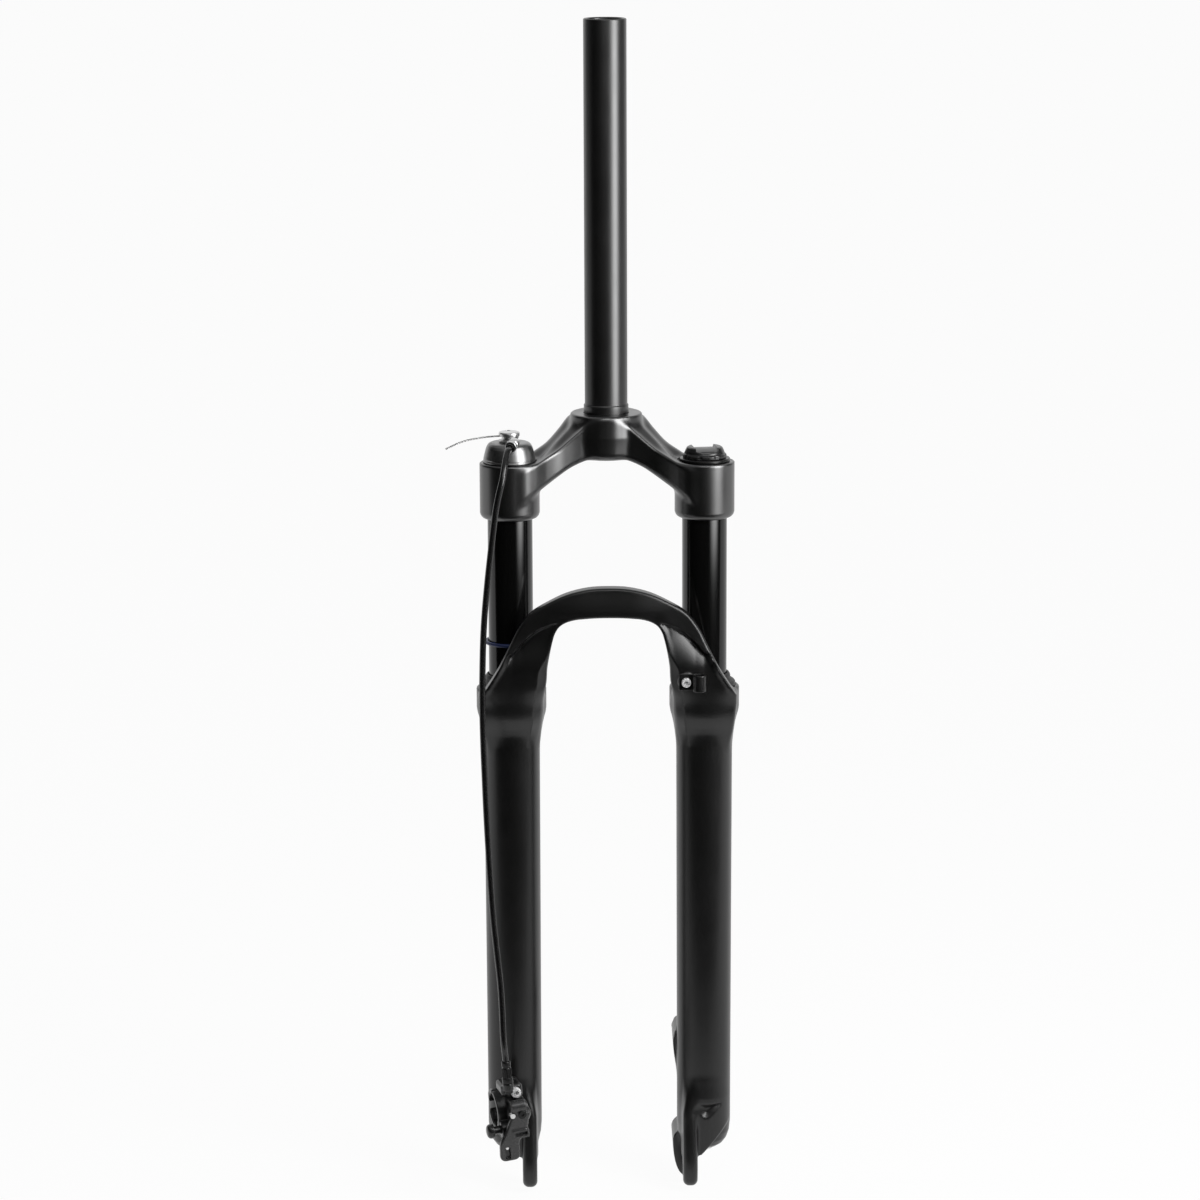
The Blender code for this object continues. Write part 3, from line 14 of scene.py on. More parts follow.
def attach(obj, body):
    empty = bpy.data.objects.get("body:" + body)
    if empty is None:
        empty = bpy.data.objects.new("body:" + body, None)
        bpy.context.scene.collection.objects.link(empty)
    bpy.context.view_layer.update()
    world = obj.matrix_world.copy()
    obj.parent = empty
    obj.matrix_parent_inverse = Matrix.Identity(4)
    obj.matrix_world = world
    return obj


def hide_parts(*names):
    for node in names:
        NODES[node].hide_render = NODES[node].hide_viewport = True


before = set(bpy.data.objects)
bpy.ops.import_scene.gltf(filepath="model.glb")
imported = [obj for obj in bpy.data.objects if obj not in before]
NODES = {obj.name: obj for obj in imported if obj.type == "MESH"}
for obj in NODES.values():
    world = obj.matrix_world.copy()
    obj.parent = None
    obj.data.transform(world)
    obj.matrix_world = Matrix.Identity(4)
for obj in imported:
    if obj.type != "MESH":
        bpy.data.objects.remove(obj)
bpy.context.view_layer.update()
scene = bpy.context.scene

MM = 0.001
LEFT_LEG = (65.0, -25.0)
RIGHT_LEG = (-65.0, -25.0)
LEGS = {"left": LEFT_LEG, "right": RIGHT_LEG}
SHARP_DEG = 40
AXLE_Y = -42.0
AXLE_Z = -519.5
FLOOR_Z = -533.4
FLOOR_FRONT = -340.0


# Camera at the viewing angle of the photograph

CAMERA_ANGLES = (12.0, -1.0, -0.23)
CAMERA_AIM = (-5.07, -25.0, -123.4)
CAMERA_DISTANCE = 2.6
FOCAL_PIXELS = 3874.4
PHOTO_PIXELS = 1200


def photo_camera():
    elevation, yaw, roll = (math.radians(a) for a in CAMERA_ANGLES)
    flat = math.cos(elevation)
    back = Vector((math.sin(yaw) * flat, -math.cos(yaw) * flat, math.sin(elevation)))
    data = bpy.data.cameras.new("photo_camera")
    data.lens = FOCAL_PIXELS / PHOTO_PIXELS * data.sensor_width
    camera = bpy.data.objects.new("photo_camera", data)
    camera.location = Vector(CAMERA_AIM) * MM + back * CAMERA_DISTANCE
    camera.rotation_mode = "QUATERNION"
    camera.rotation_quaternion = (-back).to_track_quat("-Z", "Y") @ Quaternion((0, 0, 1), roll)
    scene.collection.objects.link(camera)
    scene.camera = camera


photo_camera()


# Node trees: a socket that takes part in Python arithmetic, and one way to add a node

class Sock:
    def __init__(self, tree, node, out=0):
        self.tree = tree
        self.node = node
        self.link = node.outputs[out]

    def out(self, name):
        return Sock(self.tree, self.node, name)

    def _with(self, operation, first, second):
        return self.tree.add("ShaderNodeMath", {0: first, 1: second}, operation=operation)

    def __add__(self, other):
        return self._with("ADD", self, other)

    def __sub__(self, other):
        return self._with("SUBTRACT", self, other)

    def __rsub__(self, other):
        return self._with("SUBTRACT", other, self)

    def __mul__(self, other):
        return self._with("MULTIPLY", self, other)

    __radd__ = __add__
    __rmul__ = __mul__

    def between(self, low, high):
        """0 at low, 1 at high, eased and clamped."""
        return self.tree.add("ShaderNodeMapRange", {0: self, 1: low, 2: high},
                             interpolation_type="SMOOTHSTEP", clamp=True)


class Tree:
    def __init__(self, nodes):
        self.nodes = nodes

    def add(self, kind, values=None, **settings):
        """A node of that type: its settings by name, then the values or links of its sockets."""
        node = self.nodes.nodes.new(kind)
        for key, value in settings.items():
            if key == "stops":
                ramp = node.color_ramp.elements
                while len(ramp) < len(value):
                    ramp.new(0.5)
                for stop, (place, colour) in zip(ramp, value):
                    stop.position = place
                    stop.color = (*colour, 1)
            else:
                setattr(node, key, value)
        for key, value in (values or {}).items():
            for given in value if isinstance(value, list) else [value]:
                if isinstance(given, Sock):
                    self.nodes.links.new(given.link, node.inputs[key])
                else:
                    node.inputs[key].default_value = given
        return Sock(self, node) if node.outputs else None


# Finishes: each is a Principled shader with its own colour, gloss and surface detail

def finish(name, build, **constants):
    """A material whose build function returns what changes over the surface."""
    material = bpy.data.materials.new(name)
    material.use_nodes = True
    tree = Tree(material.node_tree)
    shader = material.node_tree.nodes["Principled BSDF"]
    for key, value in constants.items():
        shader.inputs[key.replace("_", " ")].default_value = value
    place = tree.add("ShaderNodeTexCoord").out("Object")
    for key, value in build(tree, place).items():
        material.node_tree.links.new(value.link, shader.inputs[key])
    return material


def noise(tree, place, scale, detail=3.0, stretch=None):
    if stretch:
        place = tree.add("ShaderNodeMapping", {"Vector": place, "Scale": stretch})
    values = {"Vector": place, "Scale": scale, "Detail": detail}
    return tree.add("ShaderNodeTexNoise", values)


def bump(tree, height, strength, distance):
    values = {"Height": height, "Strength": strength, "Distance": distance}
    return tree.add("ShaderNodeBump", values)


def tint(tree, amount, low, high):
    """From one colour to the other; a single number is a grey."""
    low, high = (c if isinstance(c, tuple) else (c, c, c) for c in (low, high))
    return tree.add("ShaderNodeValToRGB", {0: amount}, stops=[(0.0, low), (1.0, high)])


def painted(low, high, rough, peel_scale, peel):
    """Sprayed paint: faint clouds in the colour, fine peel in the surface."""
    def build(tree, place):
        clouds = noise(tree, place, 55.0)
        peel_noise = noise(tree, place, peel_scale, 2.0)
        specks = noise(tree, place, 2600.0, 1.0)
        return {
            "Base Color": tint(tree, clouds, low, high),
            "Roughness": rough + (clouds - 0.5) * 0.10 + (specks - 0.5) * 0.05,
            "Normal": bump(tree, peel_noise + specks * 0.35, peel, 0.00008),
        }
    return build


def drawn_tube(low, high, rough):
    """Polished and anodised tube: hair-fine rings round it and long faint streaks."""
    def build(tree, place):
        rings = noise(tree, place, 1.0, 2.0, (60.0, 60.0, 9000.0))
        streaks = noise(tree, place, 1.0, 2.0, (420.0, 420.0, 9.0))
        return {
            "Base Color": tint(tree, streaks, low, high),
            "Roughness": rough + (rings - 0.5) * 0.04 + (streaks - 0.5) * 0.03,
            "Normal": bump(tree, rings, 0.05, 0.00001),
        }
    return build


def moulded(low, high, rough, grain_scale, grain):
    """Moulded plastic or rubber with an even grain."""
    def build(tree, place):
        grains = tree.add("ShaderNodeTexVoronoi", {"Vector": place, "Scale": grain_scale})
        clouds = noise(tree, place, 160.0)
        return {
            "Base Color": tint(tree, clouds, low, high),
            "Roughness": rough + (clouds - 0.5) * 0.14,
            "Normal": bump(tree, grains + clouds * 0.5, grain, 0.00006),
        }
    return build


def machined(low, high, rough, across, along):
    """Bare or plated metal with the tool's fine lines."""
    def build(tree, place):
        lines = noise(tree, place, 1.0, 3.0, (across, across, along))
        clouds = noise(tree, place, 220.0)
        return {
            "Base Color": tint(tree, lines * 0.6 + clouds * 0.4, low, high),
            "Roughness": rough + (lines - 0.5) * 0.12 + (clouds - 0.5) * 0.08,
            "Normal": bump(tree, lines, 0.08, 0.00002),
        }
    return build


def porous(low, high, rough, scale):
    """Foam or sintered bronze: open pores, with the colour painted darker into each pore as shade
    in its hollow.
    """
    def build(tree, place):
        pores = tree.add("ShaderNodeTexVoronoi", {"Vector": place, "Scale": scale})
        return {
            # the colour darkens towards each pore's middle: painted shade in the hollows
            "Base Color": tint(tree, pores * 1.4, low, high),
            "Roughness": rough + pores * 0.1,
            "Normal": bump(tree, pores, 0.6, 0.0004),
        }
    return build


FINISHES = {
    "painted_alloy": finish(
        "satin_black_paint", painted(0.0035, 0.0055, 0.33, 850.0, 0.05), Specular_IOR_Level=0.80
    ),
    "crown_black": finish(
        "black_anodised_alloy", painted(0.115, 0.140, 0.32, 850.0, 0.05), Metallic=1.0
    ),
    "stanchion_black": finish(
        "gloss_black_tube", drawn_tube(0.0018, 0.0028, 0.14), Specular_IOR_Level=0.42
    ),
    "cast_lowers": finish(
        "matte_black_paint", painted(0.0042, 0.0064, 0.33, 1100.0, 0.12), Specular_IOR_Level=0.50
    ),
    "black_metal": finish(
        "black_plated_metal", machined(0.020, 0.034, 0.30, 900.0, 5200.0), Metallic=0.85
    ),
    "steel": finish("bright_steel", machined(0.62, 0.78, 0.24, 2400.0, 2400.0), Metallic=1.0),
    "zinc": finish("dull_zinc_plate", machined(0.70, 0.84, 0.46, 1800.0, 1800.0), Metallic=0.35),
    "aluminium": finish("bare_aluminium", machined(0.58, 0.70, 0.34, 700.0, 4800.0), Metallic=1.0),
    "dome_metal": finish(
        "polished_dark_metal", machined(0.20, 0.27, 0.34, 140.0, 6000.0), Metallic=1.0
    ),
    "black_plastic": finish("moulded_black_plastic", moulded(0.0060, 0.0100, 0.30, 2600.0, 0.12)),
    "grey_plastic": finish("dark_grey_plastic", moulded(0.026, 0.040, 0.28, 2600.0, 0.06)),
    "rubber": finish("black_rubber", moulded(0.0080, 0.0140, 0.52, 3200.0, 0.20)),
    "navy_rubber": finish(
        "navy_rubber", moulded((0.008, 0.018, 0.080), (0.012, 0.028, 0.115), 0.42, 3200.0, 0.15)
    ),
    "housing": finish("black_housing", moulded(0.0050, 0.0080, 0.24, 2100.0, 0.03)),
    "foam": finish("grey_foam", porous(0.020, 0.090, 0.86, 1900.0)),
    "bronze": finish(
        "sintered_bronze", porous((0.16, 0.10, 0.05), (0.46, 0.32, 0.17), 0.38, 3600.0),
        Metallic=0.9,
    ),
}

NODE_FINISH = {
    "steel": (
        "foot_washer_left", "foot_washer_right", "negative_spring", "top_out_spring",
        "spool_spring", "lockout_spindle", "shutter_plate", "pinch_screw", "cable_head",
        "air_shaft", "damper_rod",
    ),
    "aluminium": (
        "air_valve", "valve_body", "air_piston", "damper_piston", "air_seal_head",
        "damper_seal_head",
    ),
    "bronze": (
        "upper_bushing_left", "upper_bushing_right", "lower_bushing_left",
        "lower_bushing_right", "damper_piston_band",
    ),
    "foam": ("foam_ring_left", "foam_ring_right"),
    "rubber": ("bottom_out_bumper", "air_piston_seal"),
}


def dress_hidden_nodes():
    """The pieces that stay as they are inside the fork get their real finish."""
    for slot, names in NODE_FINISH.items():
        for name in names:
            mesh = NODES[name].data
            mesh.materials.clear()
            mesh.materials.append(FINISHES[slot])


# Meshes: an object at the origin with its place in its mesh

def make(name, verts, faces, slot, sharp_deg=SHARP_DEG):
    mesh = bpy.data.meshes.new(name)
    mesh.from_pydata((np.asarray(verts, float) * MM).tolist(), [], faces)
    work = bmesh.new()
    work.from_mesh(mesh)
    bmesh.ops.recalc_face_normals(work, faces=work.faces)
    work.to_mesh(mesh)
    work.free()
    return dress(name, mesh, slot, sharp_deg)


def dress(name, mesh, slot, sharp_deg=SHARP_DEG):
    mesh.materials.clear()
    mesh.materials.append(FINISHES[slot])
    mesh.shade_smooth()
    mesh.set_sharp_from_angle(angle=math.radians(sharp_deg))
    piece = bpy.data.objects.new(name, mesh)
    piece["slot"] = slot
    scene.collection.objects.link(piece)
    return piece


def settle(piece, body, *nodes):
    """The finished piece rides on its body and stands for its CAD nodes."""
    del piece["slot"]
    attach(piece, body)
    if nodes:
        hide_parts(*nodes)
    return piece


def plain_mesh(piece):
    """The evaluated mesh of a piece, with its modifiers gone."""
    graph = bpy.context.evaluated_depsgraph_get()
    mesh = bpy.data.meshes.new_from_object(piece.evaluated_get(graph))
    piece.modifiers.clear()
    return mesh


def cut_away(piece, *cutters):
    """Crisp bores and faces, cut from a piece by closed shapes."""
    for cutter in cutters:
        cut = piece.modifiers.new("cut", "BOOLEAN")
        cut.solver = "EXACT"
        cut.operation = "DIFFERENCE"
        cut.object = cutter
    old = piece.data
    piece.data = plain_mesh(piece)
    bpy.data.meshes.remove(old)
    for cutter in cutters:
        bpy.data.meshes.remove(cutter.data)
    piece.data.shade_smooth()
    piece.data.set_sharp_from_angle(angle=math.radians(SHARP_DEG))
    return piece


def softened(profile, radius, steps=3, closed=True):
    """A profile with every corner rounded off by up to that radius."""
    count = len(profile)
    points = [np.asarray(p, float) for p in profile]
    found = []
    for i, here in enumerate(points):
        if not closed and i in (0, count - 1):
            found.append(here)
            continue
        before = points[i - 1] - here
        after = points[(i + 1) % count] - here
        reach_before = min(radius, np.linalg.norm(before) * 0.45)
        reach_after = min(radius, np.linalg.norm(after) * 0.45)
        start = here + before / np.linalg.norm(before) * reach_before
        end = here + after / np.linalg.norm(after) * reach_after
        for t in np.linspace(0, 1, steps + 1):
            found.append(start * (1 - t) ** 2 + here * 2 * t * (1 - t) + end * t * t)
    return [tuple(p) for p in found]


def lathe(profile, place, sides):
    """Vertices and faces of a turned piece: points (radius, height) about an axis."""
    verts, faces, rings = [], [], []
    for radius, height in profile:
        if radius < 1e-6:
            rings.append([len(verts)] * sides)
            verts.append((0, 0, height))
            continue
        rings.append(list(range(len(verts), len(verts) + sides)))
        for i in range(sides):
            a = math.tau * i / sides
            verts.append((radius * math.cos(a), radius * math.sin(a), height))
    whole = profile[0][0] > 1e-6 or profile[-1][0] > 1e-6
    for low, high in zip(rings, rings[1:] + rings[:1] if whole else rings[1:]):
        for i in range(sides):
            j = (i + 1) % sides
            corners = list(dict.fromkeys((low[i], low[j], high[j], high[i])))
            if len(corners) > 2:
                faces.append(corners)
    return [tuple(place @ Vector(v)) for v in verts], faces


def turned(name, profile, place, slot, edge=0.0, sides=96):
    on_axis = profile[0][0] < 1e-6 and profile[-1][0] < 1e-6
    if edge:
        profile = softened(profile, edge, closed=not on_axis)
    return make(name, *lathe(profile, place, sides), slot)


def turned_skin(node, body, profile, place, slot, edge=0.0, sides=96):
    """A turned piece that stands for its node."""
    return settle(turned(node + "_skin", profile, place, slot, edge, sides), body, node)


def upright(x, y, z=0.0):
    return Matrix.Translation((x, y, z))


def pointing(origin, way):
    """A frame at a point with its axis along a way."""
    turn = Vector(way).to_track_quat("Z", "Y").to_matrix().to_4x4()
    return Matrix.Translation(origin) @ turn


def drill(name, radius, low, high, place, sides=32):
    """A closed straight cutter for a hole; six sides make a hex socket."""
    profile = [(0, high), (radius, high), (radius, low), (0, low)]
    return turned(name, profile, place, "steel", sides=sides)


# Solid shapes as distance fields, which can flow into each other with fillets

def flow(a, b, reach):
    """Both shapes as one, with a fillet of about that reach between them."""
    h = np.clip(0.5 + 0.5 * (b - a) / reach, 0, 1)
    return b * (1 - h) + a * h - reach * h * (1 - h)


def dig(a, b, reach):
    """The first shape without the second, with eased edges."""
    return -flow(-a, b, reach)


def within(a, b, radius):
    """Where both shapes are, with the edge between them rounded."""
    a = a + radius
    b = b + radius
    outside = np.hypot(np.maximum(a, 0), np.maximum(b, 0))
    return np.minimum(np.maximum(a, b), 0) + outside - radius


def outline(u, v, points):
    """Distance to a closed flat outline, negative inside."""
    u, v = np.broadcast_arrays(u, v)
    best = np.full(u.shape, 1e12)
    inside = np.zeros(u.shape, bool)
    for (ax, ay), (bx, by) in zip(points, points[1:] + points[:1]):
        ex, ey = bx - ax, by - ay
        wx, wy = u - ax, v - ay
        t = np.clip((wx * ex + wy * ey) / (ex * ex + ey * ey + 1e-12), 0, 1)
        best = np.minimum(best, (wx - ex * t) ** 2 + (wy - ey * t) ** 2)
        if ey:
            inside ^= ((ay > v) != (by > v)) & (u < ex * wy / ey + ax)
    return np.where(inside, -1, 1) * np.sqrt(best)


def block(x, y, z, low, high, radius):
    """A box between two corners with rounded edges."""
    spans = []
    for value, a, b in zip((x, y, z), low, high):
        spans.append(np.abs(value - (a + b) / 2) - (b - a) / 2)
    return within(within(spans[0], spans[1], radius), spans[2], radius)


def drum(across, along, radius, low, high, edge):
    """A cylinder from its distance to the axis and its length."""
    return within(across - radius, np.abs(along - (low + high) / 2) - (high - low) / 2, edge)


def eased(x, places, values):
    """A smooth curve through the given values."""
    places = np.asarray(places, float)
    values = np.asarray(values, float)
    slope = np.gradient(values, places)
    i = np.clip(np.searchsorted(places, x) - 1, 0, len(places) - 2)
    width = places[i + 1] - places[i]
    t = np.clip((x - places[i]) / width, 0, 1)
    a = values[i] * (1 + 2 * t) * (1 - t) ** 2 + values[i + 1] * t * t * (3 - 2 * t)
    return a + width * (slope[i] * t * (1 - t) ** 2 - slope[i + 1] * t * t * (1 - t))


def step(x, low, high):
    t = np.clip((x - low) / (high - low), 0, 1)
    return t * t * (3 - 2 * t)


def through(points, per_span=6):
    """A smooth open line through flat points."""
    points = [np.asarray(p, float) for p in points]
    ends = [2 * points[0] - points[1], *points, 2 * points[-1] - points[-2]]
    found = []
    for a, b, c, d in zip(ends, ends[1:], ends[2:], ends[3:]):
        for i in range(per_span):
            t = i / per_span
            found.append(0.5 * (2 * b + (c - a) * t + (2 * a - 5 * b + 4 * c - d) * t ** 2
                                + (3 * b - a - 3 * c + d) * t ** 3))
    return [tuple(p) for p in [*found, points[-1]]]


def skin(field, xs, ys, zs):
    """Quads round a field on a grid, one vertex a cell, drawn onto the true surface."""
    lines = [np.asarray(line, float) for line in (xs, ys, zs)]
    shape = tuple(len(line) for line in lines)
    grid = np.meshgrid(*lines, indexing="ij", sparse=True)
    depth = np.broadcast_to(field(*grid), shape).astype(np.float32)
    inside = depth < 0
    count = np.zeros(tuple(n - 1 for n in shape), np.int8)
    corners = [(i, j, k) for i in (0, 1) for j in (0, 1) for k in (0, 1)]
    for i, j, k in corners:
        count += inside[i:shape[0] - 1 + i, j:shape[1] - 1 + j, k:shape[2] - 1 + k]
    cells = np.argwhere((count > 0) & (count < 8))
    number = np.full(count.shape, -1, np.int64)
    number[tuple(cells.T)] = np.arange(len(cells))
    total = np.zeros((len(cells), 3))
    hits = np.zeros(len(cells))
    for a in corners:
        for axis in range(3):
            if a[axis]:
                continue
            b = list(a)
            b[axis] = 1
            ia, ib = cells + a, cells + b
            da, db = depth[tuple(ia.T)], depth[tuple(ib.T)]
            cross = (da < 0) != (db < 0)
            t = np.where(cross, da / np.where(cross, da - db, 1), 0)
            pa = np.stack([lines[n][ia[:, n]] for n in range(3)], 1)
            pb = np.stack([lines[n][ib[:, n]] for n in range(3)], 1)
            total += np.where(cross[:, None], pa + t[:, None] * (pb - pa), 0)
            hits += cross
    verts = total / hits[:, None]
    quads = []
    for axis in range(3):
        u, v = [n for n in range(3) if n != axis]
        first = [slice(1, -1)] * 3
        second = [slice(1, -1)] * 3
        first[axis], second[axis] = slice(0, -1), slice(1, None)
        change = inside[tuple(first)] != inside[tuple(second)]
        spots = np.argwhere(change)
        for n in (u, v):
            spots[:, n] += 1
        ring = []
        for du, dv in ((0, 0), (-1, 0), (-1, -1), (0, -1)):
            cell = spots.copy()
            cell[:, u] += du
            cell[:, v] += dv
            ring.append(number[tuple(cell.T)])
        quads.append(np.stack(ring, 1))
    return onto(field, verts), np.concatenate(quads).tolist()


def onto(field, verts, rounds=3):
    """Each vertex moved along the field's slope to the surface."""
    slope = np.zeros_like(verts)
    for n in range(3):
        move = np.zeros(3)
        move[n] = 0.05
        slope[:, n] = (field(*(verts + move).T) - field(*(verts - move).T)) / 0.1
    slope /= np.maximum((slope ** 2).sum(1), 0.2)[:, None]
    for _ in range(rounds):
        verts = verts - slope * np.clip(field(*verts.T), -0.6, 0.6)[:, None]
    return verts


def spaced(low, high, pitch):
    return np.linspace(low, high, int(math.ceil((high - low) / pitch)) + 1)


def formed(name, field, low, high, pitch, slot, place=None):
    """A piece skinned from a field inside a box."""
    verts, faces = skin(field, *[spaced(a, b, pitch) for a, b in zip(low, high)])
    if place is not None:
        verts = [tuple(place @ Vector(v)) for v in verts]
    return make(name, verts, faces, slot, 60)


# Cable: the housing and the wire come first, on the route of the part

CABLE_EXIT = Vector((-0.063140, -0.040651, -0.015298))
CABLE_WAY = Vector((-0.263043, -0.942115, -0.207912))
CABLE_END = Vector((-0.070307, -0.088436, -0.430684))
CABLE_END_UP = Vector((-0.084186, -0.022558, 0.996195))
CABLE_DIAMETER = 0.0042
CABLE_DROP = (
    (0.020, 0.0026, 0.0345), (0.046, 0.0046, 0.0405), (0.086, 0.0085, 0.0420),
    (0.160, 0.0126, 0.0420), (0.280, 0.0176, 0.0420), (0.410, 0.0191, 0.0422),
    (0.530, 0.0180, 0.0432), (0.640, 0.0162, 0.0452), (0.760, 0.0132, 0.0500),
    (0.870, 0.0086, 0.0568),
)


def cable_route():
    points = [CABLE_EXIT + CABLE_WAY * (0.004 * i) for i in range(4)]
    for share, outboard, ahead in CABLE_DROP:
        z = CABLE_EXIT.z + (CABLE_END.z - CABLE_EXIT.z) * share
        points.append(Vector((-0.065 - outboard, -0.025 - ahead, z)))
    points += [CABLE_END + CABLE_END_UP * 0.022, CABLE_END + CABLE_END_UP * 0.010, CABLE_END]
    return through(points, 2)


def line_curve(name, points):
    curve = bpy.data.curves.new(name, "CURVE")
    curve.dimensions = "3D"
    spline = curve.splines.new("BEZIER")
    spline.bezier_points.add(len(points) - 1)
    for point, co in zip(spline.bezier_points, points):
        point.co = co
        point.handle_left_type = point.handle_right_type = "AUTO"
    piece = bpy.data.objects.new(name, curve)
    scene.collection.objects.link(piece)
    return piece


def cable_housing():
    route = cable_route()
    piece = line_curve("cable_housing_skin", route)
    piece.data.resolution_u = 6
    piece.data.bevel_depth = CABLE_DIAMETER / 2
    piece.data.bevel_resolution = 6
    piece.data.use_fill_caps = True
    piece.data.materials.append(FINISHES["housing"])
    piece["slot"] = "housing"
    settle(piece, "upper", "cable_housing")


def shape_group(name, *inputs):
    """A Geometry Nodes group with its named inputs; returns the group, tree and input node."""
    group = bpy.data.node_groups.new(name, "GeometryNodeTree")
    group.interface.new_socket("Shape", in_out="OUTPUT", socket_type="NodeSocketGeometry")
    for label, kind, value in inputs:
        socket = group.interface.new_socket(label, in_out="INPUT", socket_type="NodeSocket" + kind)
        if value is not None:
            socket.default_value = value
    tree = Tree(group)
    return group, tree, tree.add("NodeGroupInput")


def end_group(tree, given, shape):
    """The group's last nodes: one plain mesh in its finish."""
    plain = tree.add("GeometryNodeRealizeInstances", {"Geometry": shape})
    values = {"Geometry": plain, "Material": given.out("Finish")}
    tree.add("NodeGroupOutput", {0: tree.add("GeometryNodeSetMaterial", values)})


def set_inputs(modifier, **values):
    """A modifier's inputs, set by the identifier behind each name."""
    for item in modifier.node_group.interface.items_tree:
        name = item.name.lower().replace(" ", "_")
        if item.item_type == "SOCKET" and item.in_out == "INPUT" and name in values:
            modifier[item.identifier] = values[name]


def strand_tree():
    """Twisted strands that follow a line."""
    group, tree, given = shape_group(
        "stranded_wire", ("Line", "Geometry", None), ("Strands", "Int", 6),
        ("Strand radius", "Float", 0.0002), ("Lay radius", "Float", 0.0004),
        ("Twist", "Float", 700.0), ("Finish", "Material", None),
    )
    line = tree.add("GeometryNodeResampleCurve", {"Curve": given.out("Line"), "Length": 0.0006},
                    mode="LENGTH")
    along = tree.add("GeometryNodeSplineParameter").out("Length")
    tilt = along * given.out("Twist")
    line = tree.add("GeometryNodeSetCurveTilt", {"Curve": line, "Tilt": tilt})
    lay = tree.add("GeometryNodeCurvePrimitiveCircle",
                   {"Resolution": given.out("Strands"), "Radius": given.out("Lay radius")})
    strand = tree.add("GeometryNodeCurvePrimitiveCircle",
                      {"Resolution": 7, "Radius": given.out("Strand radius")})
    spots = tree.add("GeometryNodeCurveToPoints", {"Curve": lay}, mode="EVALUATED")
    around = tree.add("GeometryNodeInstanceOnPoints", {"Points": spots, "Instance": strand})
    both = tree.add("GeometryNodeJoinGeometry", {"Geometry": [around, strand]})
    profile = tree.add("GeometryNodeRealizeInstances", {"Geometry": both})
    wire = tree.add("GeometryNodeCurveToMesh",
                    {"Curve": line, "Profile Curve": profile, "Fill Caps": True})
    end_group(tree, given, wire)
    return group


def stranded(name, points, group):
    """A steel wire of seven strands along a line."""
    line = line_curve(name + "_line", points)
    line.data.resolution_u = 8
    strands = line.modifiers.new("strands", "NODES")
    strands.node_group = group
    set_inputs(strands, strands=6, strand_radius=0.00021, lay_radius=0.00039, twist=520.0,
               finish=FINISHES["steel"])
    mesh = plain_mesh(line)
    bpy.data.objects.remove(line)
    mesh.name = name
    return dress(name, mesh, "steel", 80)


def cable_wires():
    group = strand_tree()
    spool = Vector((-0.065, -0.025, -0.0122))

    def groove(angle_deg):
        a = math.radians(angle_deg)
        return spool + Vector((0.006 * math.cos(a), 0.006 * math.sin(a), 0))

    start = groove(-15.6)
    entry = [start + CABLE_WAY * 0.0146, start + CABLE_WAY * 0.007, start]
    entry += [groove(a) for a in (-3.7, 8.2, 20.1, 32.0)]
    settle(stranded("inner_wire_entry_skin", entry, group), "upper", "inner_wire_entry")
    leave = groove(101.5)
    loose = [(-0.008, -0.0008, -0.0002), (-0.018, -0.0020, -0.0010),
             (-0.030, -0.0042, -0.0032), (-0.0412, -0.0066, -0.0077)]
    tail = [groove(a) for a in (75.0, 84.0, 93.0)]
    tail += [leave] + [leave + Vector(move) for move in loose]
    wire = stranded("inner_wire_tail_skin", tail, group)
    settle(wire, "lockout", "inner_wire_tail")
    line = through(tail, 4)


cable_housing()
cable_wires()


# Upper assembly

def steerer_tube():
    profile = [
        (13.7, 262.0), (14.3, 261.4), (14.3, 6.2), (15.0, 5.5), (15.0, -0.9), (14.3, -0.9),
        (14.3, -28.2), (12.0, -28.2), (12.0, 261.4), (12.6, 262.0),
    ]
    turned_skin("steerer_tube", "upper", profile, upright(0, 0), "painted_alloy", 0.25, 128)


CROWN_X = (0, 5, 10, 14, 18, 25, 32, 40, 48, 55, 60, 64)
# Across the crown: its front, back and floor, then the low ridge, valley and high ridge on top
CROWN_ENDS = (
    (-24.7, -24.3, -22.9, -22.1, -22.8, -24.5, -27.0, -32.2, -39.2, -42.9, -41.8, -38.8),
    (22.4, 22, 21.2, 19.6, 17.6, 13, 7.5, 2, -3.5, -7, -10, -12),
    (-28.8, -28.8, -28.8, -29.6, -31, -34.3, -38.8, -44, -49, -53.2, -58.5, -64.5),
)
CROWN_TOP = (
    (-0.4, -1.2, -3.2, -5.9, -9.0, -14.8, -20.4, -25, -29, -31.4, -32.4, -33),
    (-0.6, -0.9, -1.9, -3.0, -4.8, -9.0, -15.6, -23.4, -29.8, -33.5, -36, -37.5),
    (-0.6, -0.7, -0.9, -1.4, -2.2, -3.8, -11.5, -19.6, -24.5, -28.5, -31, -33),
)


def crown_field(x, y, z):
    side = np.abs(x)
    front, back, floor = (eased(side, CROWN_X, row) for row in CROWN_ENDS)
    low_ridge, valley, high_ridge = (eased(side, CROWN_X, row) for row in CROWN_TOP)
    share = (y - front) / (back - front)
    scoop = valley - low_ridge
    top = low_ridge + scoop * step(share, 0.07, 0.42)
    top = top + (high_ridge - valley) * step(share, 0.52, 0.88)
    ends = np.maximum(front - y, y - back)
    arms = within(within(ends, (z - top) * 0.85, 2.0), (floor - z) * 0.85, 3.2)
    arms = np.maximum(arms, side - 66)
    boss = outline(np.hypot(x, y), z, [
        (-60, 0), (23.4, 0), (24.0, -0.6), (24.6, -6), (25.2, -14), (23.5, -24.2), (20, -28.6),
        (-60, -28.6),
    ])
    clamp = outline(np.hypot(side - 65, y + 25), z, [
        (-60, -29), (19.3, -29), (20, -29.7), (20, -62.8), (19.4, -64.6), (18.2, -65.9),
        (16.6, -66.6), (-60, -66.6),
    ])
    return flow(flow(arms, boss, 3.5), clamp, 3.6)


